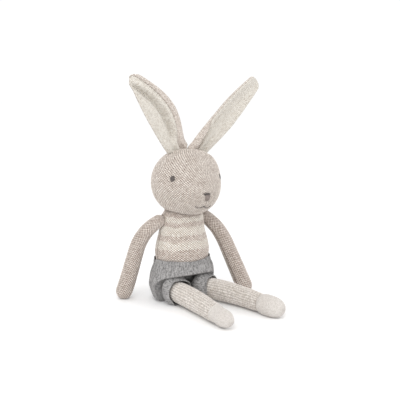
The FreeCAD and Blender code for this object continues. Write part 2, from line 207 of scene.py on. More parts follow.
def write_uv(obj: bpy.types.Object, u: Points, v: Points, around: float = 0) -> None:
    """Gives the piece its own pattern map, in millimetres along and across the cloth.

    Args:
        obj: The finished mesh.
        u: Across the pattern, for each point.
        v: Along the pattern, for each point.
        around: Length after which u starts again, or 0 where it doesn't.
    """
    mesh = obj.data
    for layer in list(mesh.uv_layers):
        mesh.uv_layers.remove(layer)
    corner = np.empty(len(mesh.loops), np.int32)
    mesh.loops.foreach_get("vertex_index", corner)
    start = np.empty(len(mesh.polygons), np.int32)
    mesh.polygons.foreach_get("loop_start", start)
    cu, cv = u[corner], v[corner]
    if around:
        high = np.maximum.reduceat(cu, start)
        low = np.minimum.reduceat(cu, start)
        size = np.diff(np.append(start, len(corner)))
        wraps = np.repeat(high - low > around / 2, size)
        cu = np.where(wraps & (cu < np.repeat(low, size) + around / 2), cu + around, cu)
    layer = mesh.uv_layers.new(name="cloth")
    layer.data.foreach_set("uv", np.stack([cu, cv], 1).astype(np.float32).ravel())


def stuff(obj: bpy.types.Object, held: Points, most: float, pressure: float = 4.0) -> None:
    """Fills a padded piece by cloth simulation, so that it swells between what holds it.

    Args:
        obj: The piece as sewn, slightly slack.
        held: For each point, 1 where a seam or another part holds it and 0 where it is free.
        most: The furthest that a point may move, in millimetres.
        pressure: The filling's pressure.
    """
    before = points_of(obj)
    group = obj.vertex_groups.new(name="held")
    for share in np.unique(np.round(held, 1)):
        chosen = np.flatnonzero(np.round(held, 1) == share).tolist()
        group.add(chosen, float(share), "REPLACE")
    only(obj)
    cloth = obj.modifiers.new("filling", "CLOTH")
    s = cloth.settings
    s.quality = 6
    s.mass = 0.2
    s.tension_stiffness = s.compression_stiffness = 12
    s.shear_stiffness = 4
    s.bending_stiffness = 0.4
    s.use_pressure = True
    s.uniform_pressure_force = pressure
    s.vertex_group_mass = "held"
    s.pin_stiffness = 1
    s.effector_weights.gravity = 0
    cloth.collision_settings.use_collision = False
    cloth.collision_settings.use_self_collision = False
    for step in range(1, 21):
        bpy.context.scene.frame_set(step)
    bpy.ops.object.modifier_apply(modifier=cloth.name)
    bpy.context.scene.frame_set(1)
    moved = points_of(obj) - before
    far = np.linalg.norm(moved, axis=1, keepdims=True)
    log.info("%s filled, its points moved up to %.1f mm", obj.name, float(far.max()))
    moved *= np.minimum(1, most / np.maximum(far, 1e-9))
    place_points(obj, before + moved)
    obj.vertex_groups.clear()


def skin_tree(obj: bpy.types.Object) -> BVHTree:
    """The surface of a mesh for finding points on it, in metres."""
    return BVHTree.FromObject(obj, bpy.context.evaluated_depsgraph_get())


def finish_piece(obj: bpy.types.Object, material: bpy.types.Material,
                 nodes: list[str]) -> None:
    """Gives a finished piece its material and hides the nodes that it stands for."""
    obj.data.materials.clear()
    obj.data.materials.append(material)
    if nodes:
        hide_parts(*nodes)
    log.info("%s: %d faces", obj.name, len(obj.data.polygons))


# ---------------------------------------------------------------- stitches as real relief
def relief(stitch: Stitch, u: Points, v: Points) -> Points:
    """Height of the knitting, from -1 in the gaps to 1 on the stitches.

    Args:
        stitch: Which pattern.
        u: Millimetres across the pattern.
        v: Millimetres along the pattern.

    Returns:
        One height for each point.
    """
    if stitch is Stitch.MOSS:
        wave = np.sin(2 * math.pi * u / MOSS_WIDE) * np.sin(2 * math.pi * v / MOSS_HIGH)
        return np.sign(wave) * np.abs(wave) ** 0.75
    if stitch is Stitch.RIB:
        wander = 0.5 * np.sin(v / 7.0 + np.sin(u / 9.0) * 2)
        ribs = np.cos(2 * math.pi * u / RIB_WIDE + wander)
        return 0.88 * ribs + 0.12 * np.cos(2 * math.pi * v / 1.7 + np.cos(2 * math.pi * u / RIB_WIDE))
    if stitch is Stitch.ROWS:
        across = np.abs(np.sin(math.pi * u / 2.0))
        return np.sin(2 * math.pi * v / ROW_HIGH + 1.0 * across)
    vee = np.abs(np.sin(math.pi * u / 1.5))
    return 0.6 * np.sin(2 * math.pi * v / 1.2 + 2.2 * vee) * vee + 0.4 * vee


MOSS_WIDE = 3.7
MOSS_HIGH = 3.0
RIB_WIDE = 3.4
ROW_HIGH = 1.75


# ---------------------------------------------------------------- finishes
class Recipe:
    """A material under construction: its nodes, and the shader they feed."""

    def __init__(self, name: str) -> None:
        """Starts a material with only a shader and an output."""
        self.material = bpy.data.materials.new(name)
        self.material.use_nodes = True
        self.tree = self.material.node_tree
        self.shader = self.tree.nodes["Principled BSDF"]

    def node(self, kind: str, inputs: dict | None = None, **settings: object) -> bpy.types.Node:
        """Adds a node; an input is a value, or another node's output to link."""
        made = self.tree.nodes.new(kind)
        for name, value in settings.items():
            setattr(made, name, value)
        for name, value in (inputs or {}).items():
            self.feed(made, name, value)
        return made

    def feed(self, made: bpy.types.Node, name: str | int, value: object) -> None:
        """Sets or links one input of a node."""
        if isinstance(value, bpy.types.NodeSocket):
            self.tree.links.new(value, made.inputs[name])
        else:
            made.inputs[name].default_value = value

    def cloth_map(self) -> bpy.types.NodeSocket:
        """The piece's own pattern map, in millimetres."""
        return self.node("ShaderNodeUVMap", uv_map="cloth").outputs["UV"]

    def scaled(self, vector: bpy.types.NodeSocket, x: float, y: float, z: float = 1) -> bpy.types.NodeSocket:
        """A vector with each part multiplied."""
        return self.node("ShaderNodeVectorMath", {0: vector, 1: (x, y, z)}, operation="MULTIPLY").outputs[0]

    def noise(self, vector: bpy.types.NodeSocket, scale: float, detail: float = 2,
              rough: float = 0.5) -> bpy.types.NodeSocket:
        """A smooth random pattern."""
        return self.node("ShaderNodeTexNoise", {"Vector": vector, "Scale": scale, "Detail": detail,
                                                "Roughness": rough}).outputs["Fac"]

    def ramp(self, value: bpy.types.NodeSocket, stops: list[tuple[float, Rgb]]) -> bpy.types.NodeSocket:
        """Colours by value."""
        made = self.node("ShaderNodeValToRGB", {"Fac": value})
        marks = made.color_ramp.elements
        while len(marks) < len(stops):
            marks.new(0.5)
        for mark, (at, colour) in zip(marks, stops):
            mark.position = at
            mark.color = (*colour, 1)
        return made.outputs["Color"]

    def level(self, value: bpy.types.NodeSocket, low: float, high: float, to_low: float = 0,
              to_high: float = 1) -> bpy.types.NodeSocket:
        """A value moved from one range to another, clamped."""
        return self.node("ShaderNodeMapRange", {"Value": value, "From Min": low, "From Max": high,
                                                "To Min": to_low, "To Max": to_high}).outputs["Result"]

    def sums(self, how: str, a: object, b: object) -> bpy.types.NodeSocket:
        """Arithmetic on two values."""
        return self.node("ShaderNodeMath", {0: a, 1: b}, operation=how).outputs[0]

    def mixed(self, share: object, a: object, b: object, how: str = "MIX") -> bpy.types.NodeSocket:
        """Two colours mixed, or one laid over the other."""
        made = self.node("ShaderNodeMix", data_type="RGBA", blend_type=how)
        for at, value in ((0, share), (6, a), (7, b)):
            if isinstance(value, tuple):
                value = (*value, 1)
            self.feed(made, at, value)
        return made.outputs[2]

    def attribute(self, name: str) -> bpy.types.NodeSocket:
        """A number that the piece stores at each point."""
        return self.node("ShaderNodeAttribute", attribute_name=name).outputs["Fac"]

    def finish(self, colour: bpy.types.NodeSocket, height: bpy.types.NodeSocket, strength: float,
               depth: float, roughness: float, sheen: float) -> bpy.types.Material:
        """Joins colour and bump to the shader and sets its even values.

        Args:
            colour: The base colour.
            height: The bump's height.
            strength: How much the bump shows.
            depth: The bump's depth in metres.
            roughness: The shader's roughness.
            sheen: The fuzz on the surface.

        Returns:
            The finished material.
        """
        lifted = self.node("ShaderNodeBump", {"Height": height, "Strength": strength, "Distance": depth})
        self.feed(self.shader, "Base Color", colour)
        self.feed(self.shader, "Normal", lifted.outputs["Normal"])
        self.shader.inputs["Roughness"].default_value = roughness
        self.shader.inputs["Specular IOR Level"].default_value = 0.18
        self.shader.inputs["Sheen Weight"].default_value = sheen
        self.shader.inputs["Sheen Roughness"].default_value = 0.6
        return self.material


@dataclass(frozen=True)
class Yarn:
    """A marled yarn: its usual colour and its darkest and lightest flecks."""

    usual: Rgb
    dark: Rgb
    light: Rgb


@dataclass(frozen=True)
class KnitFinish:
    """Knitting in one marled yarn, or in stripes of two.

    The relief is in the mesh; this adds the yarn's flecks, its plies and fibres, and painted shade that
    darkens the gaps between stitches and the seams.
    """

    name: str
    slot: str
    yarn: Yarn
    stitch: tuple[float, float]
    flecks: float = 1.0
    # how much painted shade darkens the low parts of the relief
    gap: float = 0.9
    stripe: Yarn | None = None

    def yarn_colour(self, recipe: Recipe, yarn: Yarn, cloth: bpy.types.NodeSocket) -> bpy.types.NodeSocket:
        """The marl of one yarn: flecks a stitch or two long, and each stitch its own tone."""
        wide, high = self.stitch
        marl = recipe.noise(recipe.scaled(cloth, 1 / wide, 1.4 / high), 1.9, 3, 0.65)
        spot = recipe.node("ShaderNodeVectorMath", {0: recipe.scaled(cloth, 2 / wide, 2 / high)},
                           operation="FLOOR").outputs[0]
        own = recipe.node("ShaderNodeTexWhiteNoise", {"Vector": spot}, noise_dimensions="2D").outputs["Value"]
        tone = recipe.sums("ADD", recipe.sums("MULTIPLY", marl, 0.6), recipe.sums("MULTIPLY", own, 0.4))
        reach = 0.16 * self.flecks
        return recipe.ramp(tone, [(0.5 - reach * 1.25, yarn.dark), (0.5 - reach * 0.25, yarn.usual),
                                  (0.5 + reach * 0.3, yarn.usual), (0.5 + reach * 1.3, yarn.light)])

    def material(self) -> bpy.types.Material:
        """Builds the finish."""
        recipe = Recipe(self.name)
        cloth = recipe.cloth_map()
        colour = self.yarn_colour(recipe, self.yarn, cloth)
        if self.stripe:
            share = recipe.level(recipe.attribute("stripe"), 0.42, 0.58)
            colour = recipe.mixed(share, colour, self.yarn_colour(recipe, self.stripe, cloth))
        # painted shade: where the noted relief height is low (gaps between stitches, seams) the colour is
        # multiplied towards dark brown
        painted_gap_shade = recipe.level(recipe.attribute("height"), -0.75, 0.4, self.gap, 0)
        colour = recipe.mixed(painted_gap_shade, colour, (0.16, 0.12, 0.09), "MULTIPLY")
        tints = recipe.noise(recipe.node("ShaderNodeTexCoord").outputs["Object"], 38, 2)
        colour = recipe.mixed(recipe.level(tints, 0.35, 0.65, 0.10, 0), colour, (0.55, 0.47, 0.40),
                              "MULTIPLY")
        plies = recipe.noise(recipe.scaled(cloth, 2.2, 5.5), 1, 2, 0.6)
        fibres = recipe.noise(cloth, 5.5, 3, 0.7)
        height = recipe.sums("ADD", plies, recipe.sums("MULTIPLY", fibres, 0.6))
        return recipe.finish(colour, height, 0.65, 0.0006, 0.92, 0.25)


@dataclass(frozen=True)
class ChambrayFinish:
    """Plain-woven cloth of pale and dark threads, with slubs along the warp."""

    name: str
    slot: str
    pale: Rgb
    dark: Rgb

    def material(self) -> bpy.types.Material:
        """Builds the finish."""
        recipe = Recipe(self.name)
        cloth = recipe.cloth_map()
        warp = recipe.noise(recipe.scaled(cloth, 1.2, 0.32), 1, 3, 0.7)
        weft = recipe.noise(recipe.scaled(cloth, 0.30, 1.3), 1, 3, 0.7)
        slubs = recipe.noise(recipe.scaled(cloth, 0.7, 0.12), 1, 1)
        fine = recipe.noise(recipe.scaled(cloth, 1.6, 1.6), 1, 2, 0.7)
        mix = recipe.sums("ADD", recipe.sums("MULTIPLY", warp, 0.42), recipe.sums("MULTIPLY", weft, 0.22))
        mix = recipe.sums("ADD", mix, recipe.sums("MULTIPLY", slubs, 0.2))
        mix = recipe.sums("ADD", mix, recipe.sums("MULTIPLY", fine, 0.16))
        middle = tuple((a + b) / 2 for a, b in zip(self.pale, self.dark))
        colour = recipe.ramp(mix, [(0.42, self.dark), (0.49, middle), (0.57, self.pale)])
        parts = recipe.node("ShaderNodeSeparateXYZ", {"Vector": cloth})
        over = recipe.sums("SINE", recipe.sums("MULTIPLY", parts.outputs["X"], 2 * math.pi / 0.75), 0)
        under = recipe.sums("SINE", recipe.sums("MULTIPLY", parts.outputs["Y"], 2 * math.pi / 0.75), 0)
        weave = recipe.sums("MULTIPLY", over, under)
        height = recipe.sums("ADD", weave, recipe.sums("MULTIPLY", mix, 3))
        return recipe.finish(colour, height, 0.5, 0.00025, 0.88, 0.15)


@dataclass(frozen=True)
class ThreadFinish:
    """Sewing or embroidery thread: a fine twist along its length and a slight shine."""

    name: str
    slot: str
    usual: Rgb
    dark: Rgb
    roughness: float = 0.6

    def material(self) -> bpy.types.Material:
        """Builds the finish."""
        recipe = Recipe(self.name)
        place = recipe.node("ShaderNodeTexCoord").outputs["Object"]
        fibres = recipe.noise(place, 2600, 2, 0.6)
        broad = recipe.noise(place, 420, 2, 0.6)
        tone = recipe.sums("ADD", recipe.sums("MULTIPLY", fibres, 0.5), recipe.sums("MULTIPLY", broad, 0.5))
        colour = recipe.ramp(tone, [(0.35, self.dark), (0.65, self.usual)])
        return recipe.finish(colour, fibres, 0.6, 0.0002, self.roughness, 0.1)


@dataclass(frozen=True)
class FloorFinish:
    """A plain pale studio floor."""

    name: str
    colour: Rgb

    def material(self) -> bpy.types.Material:
        """Builds the finish."""
        recipe = Recipe(self.name)
        recipe.shader.inputs["Base Color"].default_value = (*self.colour, 1)
        recipe.shader.inputs["Roughness"].default_value = 0.9
        recipe.shader.inputs["Specular IOR Level"].default_value = 0
        return recipe.material


TAUPE = Yarn(srgb(218, 208, 199), srgb(188, 176, 167), srgb(238, 231, 223))
TAUPE_LIMB = Yarn(srgb(216, 204, 195), srgb(186, 172, 162), srgb(234, 225, 217))
CREAM = Yarn(srgb(224, 219, 209), srgb(202, 194, 183), srgb(234, 230, 222))
STRIPE_CREAM = Yarn(srgb(237, 230, 220), srgb(218, 209, 198), srgb(244, 240, 233))
OATMEAL = Yarn(srgb(219, 212, 205), srgb(192, 183, 174), srgb(236, 231, 225))
WHITE = Yarn(srgb(213, 207, 201), srgb(196, 189, 182), srgb(223, 218, 213))

# the last two numbers: how far the flecks reach, and how much painted shade darkens the gaps between stitches
HEAD_KNIT = KnitFinish("taupe moss knit", "taupe_knit", TAUPE, (MOSS_WIDE, MOSS_HIGH), 1.0, 0.76)
LIMB_KNIT = KnitFinish("taupe arm knit", "taupe_knit", TAUPE_LIMB, (MOSS_WIDE, MOSS_HIGH))
EAR_BACK_KNIT = KnitFinish("taupe ear knit", "taupe_knit", TAUPE, (2.0, ROW_HIGH), 0.8, 0.4)
EAR_FRONT_KNIT = KnitFinish("cream ear knit", "cream_knit", CREAM, (2.0, ROW_HIGH), 0.8, 0.35)
STRIPED_KNIT = KnitFinish("striped moss knit", "striped_knit", TAUPE_LIMB, (MOSS_WIDE, MOSS_HIGH),
                          0.9, 0.75, STRIPE_CREAM)
RIB_KNIT = KnitFinish("oatmeal ribbed knit", "ribbed_knit", OATMEAL, (RIB_WIDE, 2.6), 0.9, 0.3)
TOE_KNIT = KnitFinish("off-white fine knit", "toe_knit", WHITE, (1.5, 1.2), 0.7, 0.2)
CHAMBRAY = ChambrayFinish("grey chambray", "chambray", srgb(180, 178, 177), srgb(80, 78, 78))
EMBROIDERY = ThreadFinish("grey-brown embroidery thread", "embroidery_thread",
                          srgb(104, 97, 94), srgb(70, 64, 62))
NOSE_THREAD = ThreadFinish("paler embroidery thread", "embroidery_thread",
                           srgb(152, 141, 135), srgb(112, 102, 97))
SEWING = ThreadFinish("taupe sewing thread", "sewing_thread", srgb(188, 175, 164), srgb(150, 137, 127), 0.8)
FLOOR = FloorFinish("studio floor", (0.96, 0.96, 0.96))


# ---------------------------------------------------------------- threads that are laid on a piece
@dataclass
class ThreadWork:
    """Stitches of thread: one spindle is modelled and each stitch is a bent copy of it."""

    name: str
    finish: ThreadFinish
    strands: list[bpy.types.Object] = field(default_factory=list)
    pattern: bpy.types.Object | None = None

    def lay(self, path: Points, up: Points, radius: float, ends: float = 0.55) -> None:
        """Lays one stitch.

        Args:
            path: Points along the stitch, in millimetres.
            up: Directions away from the cloth at those points.
            radius: Half the thread's thickness.
            ends: How far the ends keep their thickness, from 0 pointed to 1 blunt.
        """
        if self.pattern is None:
            self.pattern = ball(self.name, 7, 11)
            self.pattern.data.materials.append(self.finish.material())
            self.strands.append(self.pattern)
            strand = self.pattern
            self.form = points_of(strand) * MM
        else:
            strand = self.pattern.copy()
            strand.data = self.pattern.data.copy()
            bpy.context.scene.collection.objects.link(strand)
            self.strands.append(strand)
        ball_form = self.form
        share = 1 - np.arccos(np.clip(ball_form[:, 2], -1, 1)) / math.pi
        arc = np.concatenate([[0], np.cumsum(np.linalg.norm(np.diff(path, axis=0), axis=1))])
        at = share * arc[-1]
        centre = np.stack([np.interp(at, arc, path[:, k]) for k in range(3)], 1)
        normal = unit(np.stack([np.interp(at, arc, up[:, k]) for k in range(3)], 1))
        ahead = unit(np.stack([np.interp(at, arc, np.gradient(path[:, k])) for k in range(3)], 1))
        aside = unit(np.cross(ahead, normal))
        round_xy = unit(ball_form[:, :2] + 1e-12)
        thick = radius * np.minimum(1, np.hypot(ball_form[:, 0], ball_form[:, 1]) ** (1 - ends))
        thick = np.where(np.hypot(ball_form[:, 0], ball_form[:, 1]) < 1e-4, 0, thick)
        co = centre + aside * (round_xy[:, :1] * thick[:, None]) + normal * (round_xy[:, 1:] * thick[:, None])
        place_points(strand, co)

    def gather(self, nodes: list[str], body: str) -> bpy.types.Object:
        """Joins the stitches into one piece that rides on a body."""
        bpy.ops.object.select_all(action="DESELECT")
        for strand in self.strands:
            strand.select_set(True)
        bpy.context.view_layer.objects.active = self.pattern
        if len(self.strands) > 1:
            bpy.ops.object.join()
        piece = self.pattern
        bpy.ops.object.shade_smooth()
        if nodes:
            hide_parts(*nodes)
        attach(piece, body)
        log.info("%s: %d stitches", piece.name, len(self.strands))
        return piece


# ---------------------------------------------------------------- head
NECK = np.array([0, 0, 96.0])
HEAD_ROLL = math.radians(2.3)
HEAD_TURN = math.radians(4.0)


def rolled(co: Points) -> Points:
    """Leans points of the head and ears to the rabbit's left about the neck."""
    c, s = math.cos(HEAD_ROLL), math.sin(HEAD_ROLL)
    d = np.asarray(co, float) - NECK
    return NECK + np.stack([d[..., 0] * c + d[..., 2] * s, d[..., 1], d[..., 2] * c - d[..., 0] * s], -1)


def rolled_way(v: Points) -> Points:
    """Leans a direction as rolled leans points."""
    return rolled(NECK + np.asarray(v, float)) - NECK


def turned(v: Points, angle: float) -> Points:
    """Turns directions about the vertical."""
    c, s = math.cos(angle), math.sin(angle)
    v = np.asarray(v, float)
    return np.stack([v[..., 0] * c - v[..., 1] * s, v[..., 0] * s + v[..., 1] * c, v[..., 2]], -1)


@dataclass
class Head:
    """The head: two knitted panels joined down the middle, the face stitched on."""

    centre: tuple[float, float, float] = (0, -5, 150.5)
    half_width: float = 43.6
    half_height: float = 42.0
    back: float = 41.0
    front: float = 50.0
    muzzle_drop: float = 18.0
    slack: float = 0.2
    recess: float = 30.8
    seam_depth: float = 0.08
    stitch_depth: float = 0.55
    eye_x: float = 33.6
    eye_z: float = 159.0
    eye_half: tuple[float, float] = (2.9, 3.6)
    nose_z: float = 138.0
    mouth_z: float = 127.5
    skin: BVHTree | None = None

    def faced(self, co: Points) -> Points:
        """Turns points of the face to the rabbit's left, then leans them."""
        middle = np.array(self.centre)
        return rolled(middle + turned(np.asarray(co, float) - middle, HEAD_TURN))

    @staticmethod
    def faced_way(v: Points) -> Points:
        """Turns and leans a direction as faced does points."""
        return rolled_way(turned(v, HEAD_TURN))

    def surface(self, way: Points) -> Points:
        """The head's surface for directions from its centre, before it turns and leans."""
        drop = math.radians(self.muzzle_drop)
        ahead = np.array([0, -math.cos(drop), -math.sin(drop)])
        above = np.array([0, -math.sin(drop), math.cos(drop)])
        out, up, fore = way[:, 0], way @ above, way @ ahead
        share = np.where(fore > 0, np.abs(fore) ** (4 / 3) * self.front, fore * self.back)
        jaw = 1.6 * np.exp(-((way - unit(np.array([0.72, -0.38, -0.58]))) ** 2).sum(1) / 0.35)
        for spot, full in (((0.70, -0.25, 0.66), 3.4), ((-0.72, -0.25, 0.64), 1.8), ((0.95, -0.3, 0.1), 1.6)):
            jaw = jaw + full * np.exp(-((way - unit(np.array(spot))) ** 2).sum(1) / 0.24)
        return (np.array(self.centre) + np.outer(out * self.half_width, [1, 0, 0])
                + np.outer(up * self.half_height, above) + np.outer(share, ahead) + way * jaw[:, None])

    def cloth_places(self, co: Points) -> tuple[Points, Points]:
        """Where each point lies on its panel: the rows are level at the cheek and run along the top seam."""
        d = co - np.array(self.centre)
        far = np.linalg.norm(d, axis=1)
        tilt = np.arccos(np.clip(np.abs(d[:, 0]) / far, 0, 1))
        flat = np.maximum(np.hypot(d[:, 1], d[:, 2]), 1e-9)
        reach = far * tilt * 0.94 / flat
        return d[:, 1] * reach * np.where(d[:, 0] < 0, 1, -1) + 200, d[:, 2] * reach + 200

    def clear_of_neck(self, co: Points) -> Points:
        """Moves points out of the hollow where the torso's dome turns."""
        middle = np.array(self.centre)
        neck = middle + turned(NECK - middle, -HEAD_TURN)
        d = co - neck
        far = np.linalg.norm(d, axis=1, keepdims=True)
        return neck + d * np.maximum(1, self.recess / np.maximum(far, 1e-9))

    def build(self) -> None:
        """Makes the head's knitting and its face."""
        obj = block_ball("head_knit", 31)
        way = unit(points_of(obj))
        co = self.surface(way)
        inwards = unit(co - np.array(self.centre))
        place_points(obj, co - inwards * self.slack)
        seam = np.abs(way[:, 0]) < 0.02
        held = np.where(seam | (np.linalg.norm(co - NECK, axis=1) < self.recess + 3), 1.0, 0.0)
        stuff(obj, held, 1.6)
        place_points(obj, self.clear_of_neck(points_of(obj)))
        apply(obj, "SUBSURF", levels=2, render_levels=2)
        co = self.clear_of_neck(points_of(obj))
        place_points(obj, co)
        u, v = self.cloth_places(co)
        front = smoothstep(0, -20, co[:, 1] - self.centre[1] + 10)
        seam_line = np.exp(-(co[:, 0] / 0.9) ** 2) * (0.6 + 0.4 * front)
        puff = np.exp(-((np.abs(co[:, 0]) - 3.2) / 2.2) ** 2) * 0.12
        eyes = np.zeros(len(co))
        for side in Side:
            x, y, z = self.on_face(side.value * self.eye_x, self.eye_z, obj)
            eyes += np.exp(-(((co - np.array([x, y, z])) ** 2).sum(1)) / 6.5 ** 2)
        normals = normals_of(obj)
        place_points(obj, self.faced(co + normals * (puff - eyes * 1.0)[:, None]))
        self.skin = skin_tree(obj)
        height = relief(Stitch.MOSS, u, v) * (1 - 0.5 * seam_line)
        note(obj, "height", height)
        rise = self.stitch_depth * height - self.seam_depth * seam_line
        place_points(obj, points_of(obj) + normals_of(obj) * rise[:, None])
        write_uv(obj, u, v)
        finish_piece(obj, HEAD_KNIT.material(),
                     ["head_left_panel", "head_right_panel", "head_stuffing"])
        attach(obj, "head")
        for side in Side:
            self.stitch_eye(side)
        self.stitch_nose()
        self.stitch_mouth()

    def on_face(self, x: float, z: float, obj: bpy.types.Object) -> Points:
        """The point of the unleaned face in front of a place given across and up."""
        tree = skin_tree(obj)
        hit = tree.ray_cast(Vector((x, -120, z)) * MM, Vector((0, 1, 0)))[0]
        return np.array(hit) / MM

    def face_point(self, x: float, z: float, lift: float) -> tuple[Points, Points]:
        """A point of the leaned face and the way out of it there."""
        start = self.faced(np.array([x, -120.0, z]))
        hit, normal, _, _ = self.skin.ray_cast(Vector(start) * MM, Vector(self.faced_way([0, 1, 0])))
        out = np.array(normal)
        return np.array(hit) / MM + out * lift, out

    def stitch_eye(self, side: Side) -> None:
        """Fills one eye with upright satin stitches over a first layer across."""
        work = ThreadWork(side.word + "_eye_satin", EMBROIDERY)
        centre, out = self.face_point(side.value * self.eye_x, self.eye_z, 0)
        across = unit(np.cross(rolled_way([0, 0, 1]), out))
        up = np.cross(out, across)
        half_wide, half_high = self.eye_half
        for layer, (count, lift) in enumerate(((11, 0.25), (17, 0.6))):
            for k in range(count):
                share = (k + 0.5) / count * 2 - 1
                reach = math.sqrt(1 - share * share * 0.98)
                path, ways = [], []
                for along in np.linspace(-1, 1, 9):
                    if layer:
                        a, b = share * half_wide, along * reach * (half_high + 0.15 * math.sin(k * 2.4))
                    else:
                        a, b = along * reach * half_wide, share * half_high
                    seed = centre + across * a + up * b + out * 8
                    hit, _, _, _ = self.skin.ray_cast(Vector(seed) * MM, Vector(-out))
                    arch = lift * (1 - along ** 4) + 0.45 * layer * (1 - share ** 2) * (1 - along ** 2)
                    path.append(np.array(hit) / MM + out * (arch + 0.1))
                    ways.append(out)
                work.lay(np.array(path), np.array(ways), 0.3, 0.85)
        work.gather([side.word + "_eye_embroidery"], "head")

    def stitch_nose(self) -> None:
        """Fills the nose with upright stitches and closes its top with a darker bar."""
        body = ThreadWork("nose_satin", NOSE_THREAD)
        for k in range(15):
            share = (k + 0.5) / 15 * 2 - 1
            top, low = self.nose_z + 4.6 - 0.5 * share ** 2, self.nose_z - 5.2 + 1.4 * share ** 2
            path, ways = [], []
            for t in np.linspace(0, 1, 9):
                wide = 2.9 + (3.7 - 2.9) * (1 - t) ** 0.8
                lift = 0.35 + 0.55 * math.sin(math.pi * t) * (1 - share ** 2 * 0.7)
                point, out = self.face_point(share * wide + 1.1, top + (low - top) * t, lift)
                path.append(point)
                ways.append(out)
            body.lay(np.array(path), np.array(ways), 0.42)
        body.gather(["nose_embroidery"], "head")
        bar = ThreadWork("nose_bar", EMBROIDERY)
        for k in range(4):
            path, ways = [], []
            for share in np.linspace(-1, 1, 13):
                point, out = self.face_point(share * (5.3 - 0.3 * k) - 0.6, self.nose_z + 5.3 - 0.62 * k
                                             - 0.5 * share ** 2, 0.8 + 0.3 * (1 - share ** 2))
                path.append(point)
                ways.append(out)
            bar.lay(np.array(path), np.array(ways), 0.38)
        bar.gather([], "head")

    def stitch_mouth(self) -> None:
        """Two hanging arcs of back stitch."""
        work = ThreadWork("mouth_thread", EMBROIDERY)
        for sign in (-1, 1):
            turns = np.linspace(0.06, math.pi - 0.06, 25)
            xs = sign * 5.4 - sign * 5.4 * np.cos(turns)
            zs = self.mouth_z - 3.4 * np.sin(turns) + 0.3 - 1.0 * (sign > 0) * np.sin(turns / 2)
            for first in range(0, 24, 6):
                path, ways = [], []
                for x, z in zip(xs[first:first + 7], zs[first:first + 7]):
                    point, out = self.face_point(x, z, 0.42)
                    path.append(point)
                    ways.append(out)
                work.lay(np.array(path), np.array(ways), 0.5, 0.8)
        work.gather(["mouth_embroidery"], "head")


# ---------------------------------------------------------------- torso
def lap_wall(z: Points, grow: float) -> Points:
    """The furthest forward that the torso may reach at each height, to leave the legs their room.

    Args:
        z: Heights in millimetres.
        grow: Extra room around the legs' sweep.

    Returns:
        The smallest Y for each height.
    """
    hip_y, hip_z, reach, lift = -22.0, 16.0, 16.6 + grow, math.radians(20)
    top_y, top_z = hip_y + reach * math.sin(lift), hip_z + reach * math.cos(lift)
    curved = hip_y + np.sqrt(np.maximum(reach ** 2 - (z - hip_z) ** 2, 0))
    return np.where(z <= hip_z, hip_y + reach,
                    np.where(z < top_z, curved, top_y - (z - top_z) / math.tan(lift)))


